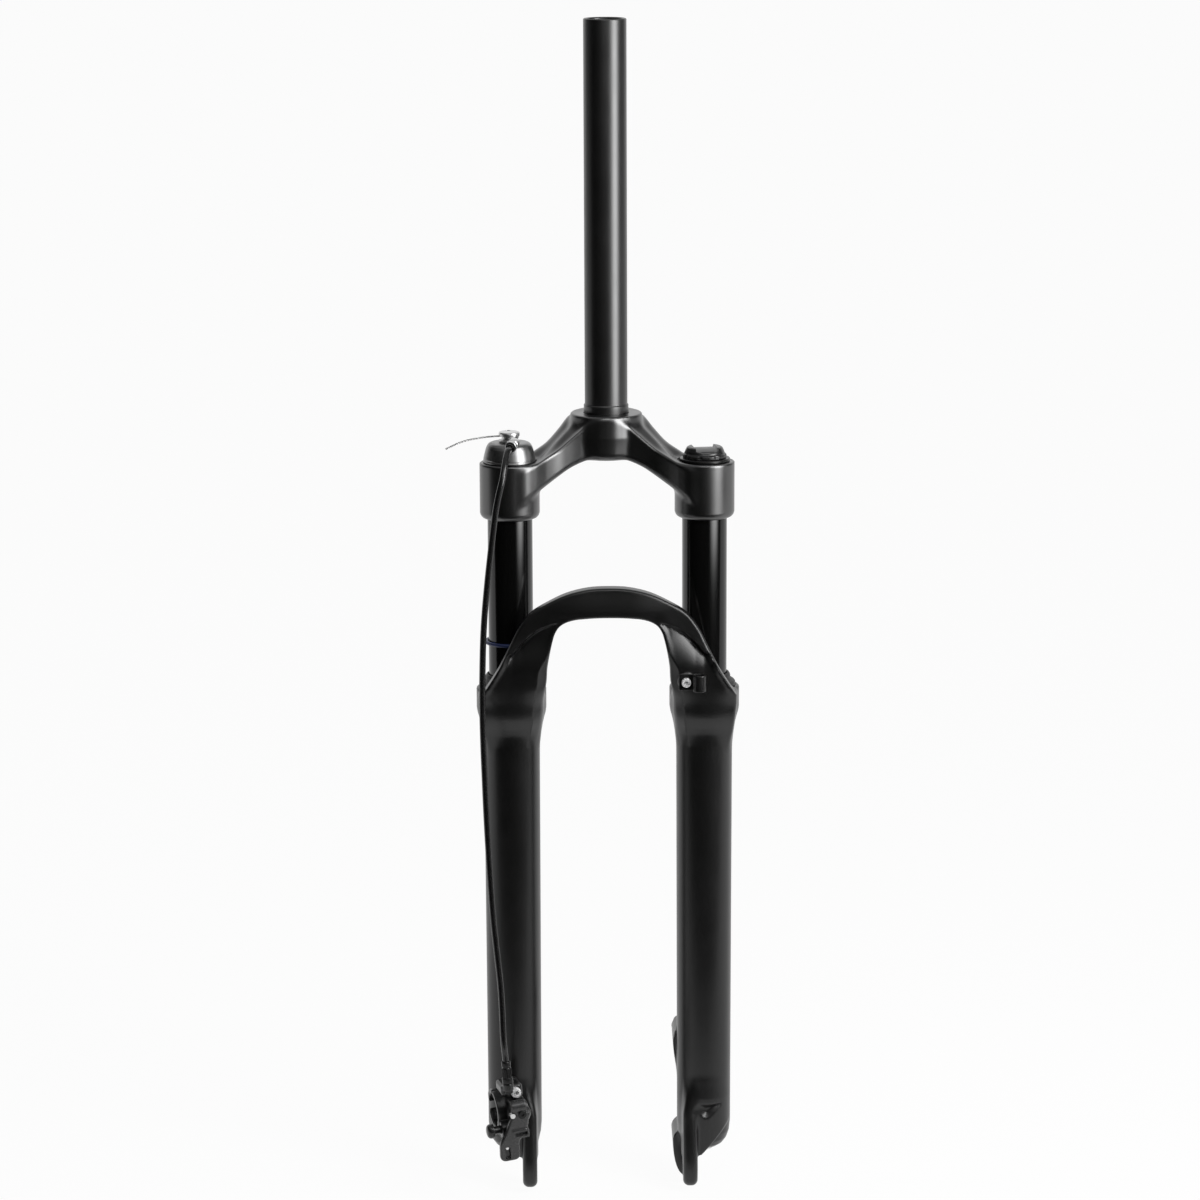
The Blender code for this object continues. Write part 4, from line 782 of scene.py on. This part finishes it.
def crown():
    piece = formed("crown_skin", crown_field, (-88, -49, -69), (88, 28, 2), 0.85,
                   "crown_black")
    bores = [turned("steerer_bore", [(0, 30), (15.3, 30), (15.3, -1.2), (14.6, -1.2),
                                     (14.6, -60), (0, -60)], upright(0, 0), "steel")]
    for x, y in LEGS.values():
        shape = [(0, 10), (18.4, 10), (18.4, -29.1), (15.3, -29.1), (15.3, -80), (0, -80)]
        bores.append(turned("stanchion_bore", shape, upright(x, y), "steel"))
    settle(cut_away(piece, *bores), "upper", "crown")


def stanchions():
    profile = [(15, -31.5), (15, -363.4), (14.4, -364.0), (12.8, -364.0), (12.8, -31.5)]
    for side, (x, y) in LEGS.items():
        place = upright(x, y)
        turned_skin("stanchion_" + side, "upper", profile, place, "stanchion_black", 0.3, 128)


def sag_ring():
    x, y = RIGHT_LEG
    ring = [(16.5 + 1.3 * math.cos(a), 1.3 * math.sin(a))
            for a in np.linspace(0, math.tau, 17)[:-1]]
    turned_skin("sag_ring", "sag_indicator", ring, upright(x, y, -151.0), "navy_rubber")


def lockout():
    x, y = RIGHT_LEG
    dome = [
        (6.4, -15.5), (12.2, -15.5), (13.6, -16.1), (14.7, -17.4), (15.6, -19.3), (16.3, -21.8),
        (17.0, -24.8), (17.35, -26.2), (17.35, -27.2), (17.6, -27.5), (17.6, -28.7),
        (12.5, -28.7), (12.5, -48.0), (4.9, -48.0), (4.9, -42.0), (2.9, -42.0), (2.9, -22.5),
        (6.4, -22.5),
    ]
    turned_skin("lockout_cap", "upper", dome, upright(x, y), "dome_metal", 0.35)
    start = Vector((-59.221, -26.614, -12.2))
    cable_axis = pointing(start, CABLE_WAY)
    stop = [
        (3.05, 13.3), (3.05, 18.0), (3.3, 18.3), (3.6, 18.3), (3.9, 18.0), (3.9, 15.6),
        (3.5, 15.2), (3.5, 14.6), (3.9, 14.2), (3.9, 9.7), (1.0, 9.7), (1.0, 13.3),
    ]
    nozzle = turned("cable_stop_skin", stop, cable_axis, "aluminium", 0.2, 48)
    ferrule = [
        (2.85, 20.6), (2.85, 13.6), (1.0, 13.6), (1.0, 14.6), (2.4, 14.6), (2.4, 20.2),
        (2.6, 20.6),
    ]
    settle(nozzle, "upper", "lockout_cap")
    turned_skin("housing_ferrule", "upper", ferrule, cable_axis, "black_metal", 0.15, 48)
    spool = [
        (0, -8.4), (5.9, -8.4), (6.6, -8.6), (7.0, -9.2), (7.0, -11.2), (5.1, -11.2),
        (5.1, -13.9), (7.0, -13.9), (7.0, -15.2), (2.8, -15.2), (2.8, -10.6), (0, -10.6),
    ]
    wheel = turned("lockout_spool_skin", spool, upright(x, y), "aluminium", 0.25)
    a = math.radians(101.5)
    spot = (x + 4.2 * math.cos(a), y + 4.2 * math.sin(a))
    hole = drill("pinch_hole", 1.7, -10.6, -4, upright(*spot))
    settle(cut_away(wheel, hole), "lockout", "lockout_spool")


def valve_cap_field(x, y, z):
    """Knob over the air valve: flange, body with a saddle, and eight finger scallops."""
    x = x - 65
    y = y + 25
    turn = math.radians(8)
    u = x * math.cos(turn) + y * math.sin(turn)
    v = y * math.cos(turn) - x * math.sin(turn)
    across = np.hypot(x, y)
    flange = outline(across, z, [(-60, -23.9), (13.9, -23.9), (14.6, -24.6), (14.6, -26.4),
                                 (-60, -26.4)])
    knob = outline(across, z, [(-60, -19.2), (10.9, -19.2), (11.9, -19.8), (13.0, -22.0),
                               (13.6, -24.0), (13.6, -26.0), (-60, -26.0)])
    saddle = within(np.abs(u) - 7.3, -20.2 - z - 0.012 * v * v, 0.5)
    knob = dig(knob, saddle, 0.5)
    knob = dig(knob, block(u, v, z, (-4.6, -30, -21.9), (4.6, -10.6, -10), 0.4), 0.4)
    body = flow(flange, knob, 0.8)
    angle = np.arctan2(v, u)
    nearest = np.mod(angle, math.tau / 8) - math.tau / 16
    scallop = np.hypot(across * np.cos(nearest) - 16.6, across * np.sin(nearest)) - 2.6
    return dig(body, np.maximum(scallop, -26 - z), 0.5)


def air_side():
    x, y = LEFT_LEG
    cap = [
        (16.5, -26.7), (17.0, -27.2), (17.0, -28.7), (12.5, -28.7), (12.5, -46.0), (4.15, -46.0),
        (4.15, -33.0), (8.8, -33.0), (8.8, -26.7),
    ]
    turned_skin("air_top_cap", "upper", cap, upright(x, y), "black_metal", 0.2)
    knob = formed("valve_cap_skin", valve_cap_field, (49.5, -40.5, -27.2), (80.5, -9.5, -18.4),
                  0.34, "black_plastic")
    settle(knob, "valve_cover", "valve_cap")


steerer_tube()
crown()
stanchions()
sag_ring()
lockout()
air_side()


# Lower casting: legs, arch, feet and brake posts flow into one skin

LEG_PROFILE = [
    (-60, -182), (22.5, -182), (23.5, -183.0), (23.5, -196.0), (22.9, -199.2), (21.5, -203.0),
    (20.2, -207.0), (19.3, -212.5), (18.9, -221.0), (18.3, -490.0), (17.6, -497.0),
    (15.9, -502.0), (13.2, -505.8), (9.5, -508.3), (-60, -508.3),
]
ARCH_OUTER = through([
    (-28, -113.3), (-14, -109.8), (0, -109.0), (14, -109.8), (28, -113.3), (41, -119.5),
    (52, -126.5), (60, -137), (66.5, -150), (73, -163), (79.5, -174), (85.6, -183.5),
], 4)
ARCH_INNER = through([
    (50.0, -226), (46.2, -212), (44.5, -199), (43.3, -186), (41.4, -174), (40.7, -163.5),
    (39, -153), (37.2, -144.8), (35.2, -138.8), (31.5, -134), (24, -130.6), (13, -129.2),
    (0, -128.8), (-13, -129.2), (-24, -130.6),
], 4)
ARCH_OUTLINE = ARCH_OUTER + [(85.8, -190), (85.0, -199), (83.6, -212), (80, -226)] + ARCH_INNER
ARCH_Z = (-250, -212, -200, -188, -176, -164, -151, -141, -126, -105)
ARCH_FRONT = (-24, -43.6, -50.0, -53.0, -56.0, -58.2, -59.3, -59.8, -60, -59)
ARCH_BACK = (-25, -26, -27.5, -33, -43, -46.5, -46.5, -46.5, -46.5, -46.5)
BROW_X = (20, 28.7, 39.3, 47.3, 56.6, 64)
BROW_Z = (-129.6, -131.1, -133.9, -137.4, -144.9, -153)


def arch_field(x, y, z):
    side = np.abs(x)
    flat = outline(side, z, ARCH_OUTLINE)
    front = eased(z, ARCH_Z, ARCH_FRONT)
    back = eased(z, ARCH_Z, ARCH_BACK)
    below = eased(side, BROW_X, BROW_Z) - z
    fold = step(side, 26, 34) * step(below, -0.6, 1.4) * np.exp(-np.maximum(below, 0) / 10.0)
    inner = np.array(sorted((b, a) for a, b in ARCH_INNER if a > 30))
    edge = side - np.interp(z, inner[:, 0], inner[:, 1])
    bevel = np.maximum(6.4 * step(-z, 146, 170) - np.maximum(edge, 0), 0)
    sweep = 4.5 * (1 - np.exp(-0.0014 * np.maximum(side - 15, 0) ** 2)) * step(z, -164, -140)
    swell = 4.0 * ((side - 65) / 20) ** 2 * step(-z, 176, 194)
    crown_lean = 1.6 * step(z, -124, -108) + 1.0 * step(-z, 124, 131) * step(-side, -40, -30)
    under = np.maximum(below, 0)
    lean = 0.20 * np.clip(side - 42, 0, 16) * step(below, 0, 3) * np.exp(-under / 16)
    front = front + (2.4 * fold + lean) * step(-flat, 0.3, 5.0) + 0.9 * bevel + crown_lean
    front = front + sweep + swell
    depth = np.maximum(front - y, y - back)
    return within(flat, depth, 1.5)


SHROUD_PROFILE = [
    (-60, -449.5), (14.9, -449.5), (16.6, -457.5), (18.0, -469.5), (18.1, -511), (-60, -511),
]
SHROUD_OUTLINE = [(-14.5, -445), (20.4, -445), (20.4, -484.5), (-5, -513), (-14.5, -513)]
DROPOUT_OUTLINE = through([
    (-21, -457), (-19.2, -490), (-20.5, -503.5), (-28, -511.5), (-28, -521), (-30.5, -527.5),
    (-36, -530.0), (-48, -530.0), (-53.5, -527.5), (-56, -521), (-55.6, -513), (-53.4, -503),
    (-49.4, -487.5), (-45.9, -473.5), (-39.9, -457),
], 4)
POCKET = softened([(-4.3, -472.8), (11.2, -472.6), (12.0, -474.2), (4.0, -482.2), (0.8, -483.8),
                   (-2.4, -481.6), (-4.4, -476.8)], 1.6)
POST_X = 51.8
POST_FACE = 9.0
POST_Z = (-507.0, -433.0)
POST_WEB = softened([
    (-21, -412.5), (1.5, -424.5), (6, -427.5), (6, -438.5), (-3, -446), (-7, -470), (-3, -494),
    (6, -501.5), (6, -512.5), (0, -515), (-21, -510),
], 3.0)
GUIDE_SPOT = (51.5, -58.0, -172.4)


def foot_field(x, y, z):
    side = np.abs(x) - 65
    shroud = outline(np.hypot(side, y + 27.1), z, SHROUD_PROFILE)
    shroud = within(shroud, outline(side, z, SHROUD_OUTLINE), 0.9)
    shroud = within(shroud, y + 29, 1.0)
    inner_face = -15 + 8 * step(z, -482, -448)
    thick = np.maximum(inner_face - side, side + 5)
    blade = within(outline(y, z, DROPOUT_OUTLINE), thick, 4.2)
    slot = np.where(z > AXLE_Z, np.hypot(y - AXLE_Y, z - AXLE_Z), np.abs(y - AXLE_Y)) - 4.8
    blade = dig(blade, slot, 0.7)
    sunk = 18.05 - np.hypot(side, y + 27.1)
    dent = within(outline(side, z, POCKET) + 1.3 * sunk, sunk - 3.0, 0.2)
    dent = np.maximum(dent, y + 30)
    return shroud, blade, dent


def post_field(x, y, z):
    web = within(outline(y, z, POST_WEB), np.abs(x - POST_X) - 3.5, 1.4)
    tail = np.interp(POST_FACE - y, (0, 0.8, 8, 18, 28), (0, 0, 3.9, 13, 17.5))
    shape = web
    for height in POST_Z:
        up = z - height
        drop = np.where(up > 0, up, up * 7.8 / (7.8 + tail))
        post = within(np.hypot(x - POST_X, drop) - 7.8, np.maximum(y - POST_FACE, -22 - y), 0.7)
        shape = flow(shape, post, 2.5)
    return shape


def casting_field(x, y, z):
    side = np.abs(x) - 65
    legs = outline(np.hypot(side, y + 25), z, LEG_PROFILE)
    shape = flow(legs, arch_field(x, y, z), 4.5)
    shroud, blade, dent = foot_field(x, y, z)
    shape = flow(shape, shroud, 1.0)
    shape = flow(shape, blade, 4.0)
    shape = dig(shape, dent, 0.35)
    shape = flow(shape, post_field(x, y, z), 3.0)
    pad = drum(np.hypot(x - GUIDE_SPOT[0], z - GUIDE_SPOT[2]), y, 5.5, GUIDE_SPOT[1], -48, 0.5)
    return flow(shape, pad, 1.2)


def lower_casting():
    pitch = 0.9
    heights = np.concatenate([
        spaced(-535, -437, pitch), spaced(-437, -236, 9.0)[1:-1], spaced(-236, -106, pitch),
    ])
    verts, faces = skin(casting_field, spaced(-90, 90, pitch), spaced(-64, 12, pitch), heights)
    casting = make("lower_casting_skin", verts, faces, "cast_lowers", 60)
    bore = [
        (0, -90), (17.2, -90), (17.2, -171.5), (21.4, -171.5), (21.4, -182.4), (19.3, -182.4),
        (19.3, -197.4), (16.7, -197.4), (16.7, -484.3), (3.4, -484.3), (3.4, -502.3),
        (7.2, -502.3), (7.2, -518.3), (0, -518.3),
    ]
    cutters = []
    for x, y in LEGS.values():
        cutters.append(turned("leg_bore", bore, upright(x, y), "steel"))
        out = math.copysign(1, x)
        nut = pointing((out * 58.6, AXLE_Y, AXLE_Z), (out, 0, 0))
        cutters.append(drill("nut_recess", 10.5, 0, 8, nut, 64))
    for z in POST_Z:
        hole = pointing((POST_X, POST_FACE, z), (0, 1, 0))
        cutters.append(turned("post_bore", [(0, 4), (3.2, 4), (2.6, -0.6), (2.6, -14), (0, -14)],
                              hole, "steel", sides=32))
    cutters.append(drill("guide_thread", 2.3, -2, 8.5, pointing(GUIDE_SPOT, (0, 1, 0)), 24))
    settle(cut_away(casting, *cutters), "lowers", "lower_casting")


def wiper_seals():
    profile = [
        (15.2, -173.8), (16.0, -172.9), (16.5, -173.1), (17.3, -174.4), (17.6, -175.6),
        (17.3, -176.3), (18.4, -177.4), (20.2, -178.6), (20.9, -179.6), (20.9, -181.7),
        (19.0, -181.7), (19.0, -189.5), (16.4, -189.5), (16.4, -176.0),
    ]
    for side, (x, y) in LEGS.items():
        turned_skin("wiper_seal_" + side, "lowers", profile, upright(x, y), "rubber", 0.3)


def socket_screw(node, body, head_r, head_h, shank_r, length, socket, place, slot):
    """A cap screw with a rounded head, a hex socket and its shank, which stands for its node."""
    dome, tip = 0.5, 0.6
    profile = [
        (0, head_h), (head_r - dome, head_h), (head_r - dome * 0.3, head_h - dome * 0.3),
        (head_r, head_h - dome), (head_r, 0), (shank_r, 0), (shank_r, -length + tip),
        (shank_r - tip, -length), (0, -length),
    ]
    screw = turned(node + "_skin", profile, place, slot, 0.2, 48)
    corner = socket / math.sqrt(3)
    recess = drill("socket", corner, head_h * 0.15, head_h + 2, place, 6)
    settle(cut_away(screw, recess), body, node)


def foot_bolts():
    for side, (x, y) in LEGS.items():
        place = pointing((x, y, -503.9), (0, 0, -1))
        socket_screw("foot_bolt_" + side, "lowers", 6.3, 7.0, 3.0, 39.5, 5.0, place, "steel")


def clip_field(x, y, z):
    """Hose clip: a flat foot under the screw and a curled arm, open at one side."""
    u = x - GUIDE_SPOT[0]
    v = y - GUIDE_SPOT[1]
    w = z - GUIDE_SPOT[2]
    foot = block(u, v, w, (-4.8, -1.8, -5.6), (9.0, -0.3, 5.6), 0.5)
    across = np.hypot(u - 8.8, v + 4.8)
    curl = within(np.abs(across - 3.75) - 0.75, np.abs(w) - 5.6, 0.5)
    angle = np.degrees(np.arctan2(v + 4.8, u - 8.8))
    mouth = np.maximum(np.maximum(95 - angle, angle - 150) * 0.06, across - 9)
    return flow(foot, dig(curl, mouth, 0.4), 0.6)


def hose_guide():
    x, y, z = GUIDE_SPOT
    clip = formed("hose_guide_skin", clip_field, (x - 6, y - 11, z - 7), (x + 15, y + 1, z + 7),
                  0.34, "black_plastic")
    hole = drill("guide_hole", 2.3, -6, 4, pointing(GUIDE_SPOT, (0, 1, 0)))
    settle(cut_away(clip, hole), "lowers", "hose_guide")
    place = pointing((x, y - 2.1, z), (0, -1, 0))
    socket_screw("hose_guide_bolt", "lowers", 3.2, 2.6, 2.0, 9.0, 2.5, place, "zinc")


lower_casting()
wiper_seals()
foot_bolts()
hose_guide()


# Remote, in its own frame: clamp axis along x, lever pivot along y, cable up z;
# each spot gives the two coordinates across the axis of its piece

REMOTE = Matrix((
    (0.9622502, -0.2588190, -0.0841860, -73.0),
    (0.2578342, 0.9659258, -0.0225576, -64.0),
    (0.0871557, 0.0, 0.9961947, -467.5),
    (0, 0, 0, 1),
))
PIVOT = (7.0, 3.0)
LEVER_BACK = -21.55
BUTTON = (-15.0, -9.0)
HEAD_SPOT = (-0.5, 3.0)
BOLT = (7.0, 14.4)
BARREL = (-0.5, -24.3)
PADDLE = softened([
    (-6.8, 1.0), (-12.8, -12.0), (-17.2, -18.5), (-17.8, -29.0), (-15.6, -31.2), (-6.3, -31.2),
    (-4.0, -29.0), (-4.0, -19.0), (1.4, -11.0), (6.2, 1.0),
], 2.0)


def remote_body_field(x, y, z):
    band = within(np.abs(np.hypot(y, z) - 12.8) - 1.6, np.abs(x) - 7, 0.9)
    ears = block(x, y, z, (1.3, -11, 9), (12.6, 8, 19.6), 3.0)
    bridge = block(x, y, z, (0.5, -19, -8), (12.6, -8, 9.5), 1.2)
    across = np.hypot(x - PIVOT[0], z - PIVOT[1])
    plinth = drum(across, y, 6.6, -21.2, -16.4, 0.6)
    web = block(x, y, z, (-5.4, -24.0, 17.5), (0.4, -8, 24.5), 2.0)
    neck = drum(np.hypot(x - BARREL[0], y - BARREL[1]), z, 3.6, 21.4, 26.5, 0.6)
    boss = drum(np.hypot(y - BUTTON[0], z - BUTTON[1]), x, 5.6, -6.5, 4.0, 0.7)
    shape = flow(band, ears, 2.4)
    for extra in (bridge, plinth, web, neck, boss):
        shape = flow(shape, extra, 1.6)
    shape = dig(shape, np.hypot(y, z) - 11.2, 0.3)
    return dig(shape, block(x, y, z, (-30, -1.8, 8), (30, -0.2, 26), 0.1), 0.3)


def lever_field(x, y, z):
    """Rolled top, flat middle, slotted foot and a thumb paddle to one side."""
    hub = drum(np.hypot(x - PIVOT[0], z - PIVOT[1]), y, 6.4, -24.6, LEVER_BACK, 0.6)
    roll = drum(np.hypot(y + 22.3, z - 7.9), x, 4.6, -0.2, 10.0, 0.6)
    roll = within(roll, y - LEVER_BACK, 0.4)
    plate = block(x, y, z, (-0.2, -25.6, -9.0), (10.0, LEVER_BACK, 7.0), 0.5)
    foot = block(x, y, z, (-1.0, -26.8, -13.4), (10.6, LEVER_BACK, -7.2), 0.9)
    window = block(x, y, z, (0.8, -30, -11.4), (9.2, -24.2, -9.0), 0.6)
    u, w = x - PIVOT[0], z - PIVOT[1]
    blade = within(outline(u, w, PADDLE), np.abs(y + 24.3) - 2.1, 1.2)
    groove = block(u, y, w, (-14.4, -30, -29.6), (-10.8, -23.4, -21.4), 0.6)
    shape = flow(flow(hub, plate, 0.6), roll, 0.6)
    shape = flow(flow(shape, foot, 0.8), blade, 1.2)
    nest = np.hypot(x - HEAD_SPOT[0], z - HEAD_SPOT[1]) - 2.3
    for cut in (window, groove, np.maximum(nest, y + 22.2)):
        shape = dig(shape, cut, 0.4)
    return shape


def rib_tree():
    """Grip ribs set round an axis."""
    group, tree, given = shape_group(
        "grip_ribs", ("Blank", "Geometry", None), ("Count", "Int", 16),
        ("Ring radius", "Float", 0.004), ("Rib radius", "Float", 0.0005),
        ("Rib length", "Float", 0.010), ("Finish", "Material", None),
    )
    ring = tree.add("GeometryNodeMeshCircle",
                    {"Vertices": given.out("Count"), "Radius": given.out("Ring radius")})
    size = {"Vertices": 10, "Radius": given.out("Rib radius"), "Depth": given.out("Rib length")}
    bar = tree.add("GeometryNodeMeshCylinder", size, fill_type="NGON")
    ribs = tree.add("GeometryNodeInstanceOnPoints", {"Points": ring, "Instance": bar})
    end_group(tree, given, ribs)
    return group


def grip_ribs(name, group, count, ring, rib, length, place, slot):
    blank = bpy.data.objects.new(name, bpy.data.meshes.new(name))
    scene.collection.objects.link(blank)
    ribs = blank.modifiers.new("ribs", "NODES")
    ribs.node_group = group
    set_inputs(ribs, count=count, ring_radius=ring * MM, rib_radius=rib * MM,
               rib_length=length * MM, finish=FINISHES[slot])
    mesh = plain_mesh(blank)
    bpy.data.objects.remove(blank)
    at = place.copy()
    at.translation = at.translation * MM
    mesh.transform(at)
    return dress(name, mesh, slot)


def front_axis(spot, y):
    """A frame at an (x, z) spot of the remote and that depth, pointing to the front."""
    return REMOTE @ pointing((spot[0], y, spot[1]), (0, -1, 0))


def remote():
    barrel_axis = REMOTE @ upright(*BARREL)
    button_axis = REMOTE @ pointing((0, *BUTTON), (1, 0, 0))
    body = formed("remote_body_skin", remote_body_field, (-9, -31, -17), (20, 11, 29), 0.5,
                  "black_plastic", REMOTE)
    holes = [
        drill("bolt_hole", 2.3, -12, 16, front_axis(BOLT, 0)),
        drill("pivot_hole", 2.8, 12, 30, front_axis(PIVOT, 0)),
        drill("barrel_hole", 3.3, 10, 32, barrel_axis),
        drill("button_hole", 3.1, -10, 2.2, button_axis),
    ]
    settle(cut_away(body, *holes), "upper", "remote_body")
    place = front_axis(BOLT, -11.2)
    socket_screw("clamp_bolt", "upper", 3.5, 3.4, 2.0, 17.0, 3.2, place, "zinc")
    lever = formed("remote_lever_skin", lever_field, (-13, -29, -30), (19, -20, 15), 0.45,
                   "grey_plastic", REMOTE)
    hole = drill("lever_hole", 2.8, 15, 35, front_axis(PIVOT, 0))
    settle(cut_away(lever, hole), "thumb_lever", "remote_lever")
    place = front_axis(PIVOT, -25.7)
    socket_screw("lever_pivot_bolt", "upper", 3.0, 1.2, 2.5, 12.0, 2.0, place, "black_metal")
    pin = turned("paddle_pin", [(0, 3.2), (1.0, 3.2), (1.3, 2.9), (1.3, 0), (0, 0)],
                 front_axis((-5.6, -18.9), -23.0), "steel", sides=32)
    settle(pin, "thumb_lever")
    button = [
        (0, -2.8), (2.8, -2.8), (2.8, -11.4), (4.7, -11.4), (5.0, -11.7), (5.0, -13.6),
        (4.6, -14.9), (3.6, -15.8), (2.0, -16.2), (0, -16.2),
    ]
    turned_skin("release_button", "release", button, button_axis, "black_plastic", 0.3, 64)
    barrel = [
        (2.4, 42.0), (2.8, 42.0), (3.1, 41.4), (3.1, 38.8), (2.8, 38.4), (2.8, 37.6),
        (3.1, 37.2), (3.1, 30.6), (3.7, 30.2), (3.7, 26.8), (3.0, 26.8), (3.0, 19.5), (1.0, 19.5),
        (1.0, 36.7), (2.4, 36.7),
    ]
    turned_skin("barrel_adjuster", "adjuster", barrel, barrel_axis, "black_metal", 0.15, 48)
    ribs = grip_ribs("barrel_grip_ribs", rib_tree(), 16, 3.1, 0.34, 6.0,
                     barrel_axis @ upright(0, 0, 33.9), "black_metal")
    settle(ribs, "adjuster", "barrel_adjuster")


remote()
dress_hidden_nodes()


# Floor, studio and lamps

SOFTBOX_LEVEL = 11.5
TOP_LAMP_LEVEL = 3.5
ROOM_LEVEL = 0.010
OVERHEAD_LEVEL = 0.40
FLOOR_WHITE = 0.95


def plain_material(name):
    material = bpy.data.materials.new(name)
    material.use_nodes = True
    material.node_tree.nodes.clear()
    return material, Tree(material.node_tree)


def white_at(tree, level):
    return tree.add("ShaderNodeVectorMath", {0: (1, 1, 1), "Scale": level}, operation="SCALE")


def stage_sheet(name, low, high, height, material):
    """A flat four-cornered sheet that is no part of the fork."""
    corners = [(low[0], low[1], height), (high[0], low[1], height),
               (high[0], high[1], height), (low[0], high[1], height)]
    mesh = bpy.data.meshes.new(name)
    mesh.from_pydata(corners, [], [(0, 1, 2, 3)])
    mesh.materials.append(material)
    sheet = bpy.data.objects.new(name, mesh)
    scene.collection.objects.link(sheet)
    return sheet


def floor():
    """Paper that takes the shadow, nearly white to the camera and in mirrors and glass."""
    material, tree = plain_material("pale_floor")
    rays = tree.add("ShaderNodeLightPath")
    seen = rays.out("Is Camera Ray") + (rays.out("Is Glossy Ray") + rays.out("Is Transmission Ray"))
    paper = tree.add("ShaderNodeBsdfDiffuse", {"Color": (0.80, 0.80, 0.80, 1)})
    white = tree.add("ShaderNodeEmission", {"Color": (1, 1, 1, 1), "Strength": 1.0})
    mix = tree.add("ShaderNodeMixShader", {0: seen * FLOOR_WHITE, 1: paper, 2: white})
    tree.add("ShaderNodeOutputMaterial", {0: mix})
    stage_sheet("pale_floor", (-12, FLOOR_FRONT * MM), (12, 30), FLOOR_Z * MM, material)


def studio():
    """White behind the fork and dark ahead of it, as in a photographer's studio."""
    world = bpy.data.worlds.new("studio")
    world.use_nodes = True
    world.node_tree.nodes.clear()
    scene.world = world
    tree = Tree(world.node_tree)
    way = tree.add("ShaderNodeTexCoord").out("Generated")
    parts = tree.add("ShaderNodeSeparateXYZ", {0: way})
    behind = parts.out("Y").between(0.42, 0.72)
    above = parts.out("Z").between(0.35, 0.95)
    camera = tree.add("ShaderNodeLightPath").out("Is Camera Ray")
    room = ROOM_LEVEL + behind * (1 - ROOM_LEVEL) + above * OVERHEAD_LEVEL * (1 - behind)
    light = camera + (1 - camera) * room
    paint = tree.add("ShaderNodeBackground", {"Color": white_at(tree, light)})
    tree.add("ShaderNodeOutputWorld", {0: paint})


def softbox():
    """A tall panel at the right, brightest along one upright line and fading out below."""
    distance, turn = 0.9, math.radians(46)
    across = Vector((math.cos(turn), math.sin(turn), 0))
    ahead = Vector((math.sin(turn), -math.cos(turn), 0))
    material, tree = plain_material("softbox")
    place = tree.add("ShaderNodeTexCoord").out("Object")
    parts = tree.add("ShaderNodeSeparateXYZ", {0: place})
    glow = parts.out("X").between(-0.36, 0.09) * (1 - parts.out("X").between(0.12, 0.50))
    glow = glow * parts.out("Y").between(-0.19, -0.065) * SOFTBOX_LEVEL
    light = tree.add("ShaderNodeEmission", {"Color": white_at(tree, glow)})
    tree.add("ShaderNodeOutputMaterial", {0: light})
    panel = stage_sheet("softbox", (-0.4, -0.2), (0.5, 0.75), 0, material)
    up = Vector((0, 0, 1))
    panel.matrix_world = Matrix.LocRotScale(
        ahead * distance, Matrix((across, up, across.cross(up))).transposed(), None
    )
    panel.visible_camera = False


def top_lamp():
    data = bpy.data.lights.new("top_lamp", "AREA")
    data.shape = "RECTANGLE"
    data.size = 0.9
    data.size_y = 0.35
    data.energy = TOP_LAMP_LEVEL * math.pi * data.size * data.size_y
    lamp = bpy.data.objects.new("top_lamp", data)
    lamp.location = (0.15, -0.95, 0.70)
    aim = Vector((0, 0, -0.2)) - lamp.location
    lamp.rotation_euler = aim.to_track_quat("-Z", "Y").to_euler()
    lamp.visible_camera = False
    scene.collection.objects.link(lamp)


floor()
studio()
softbox()
top_lamp()
scene.view_settings.view_transform = "Standard"
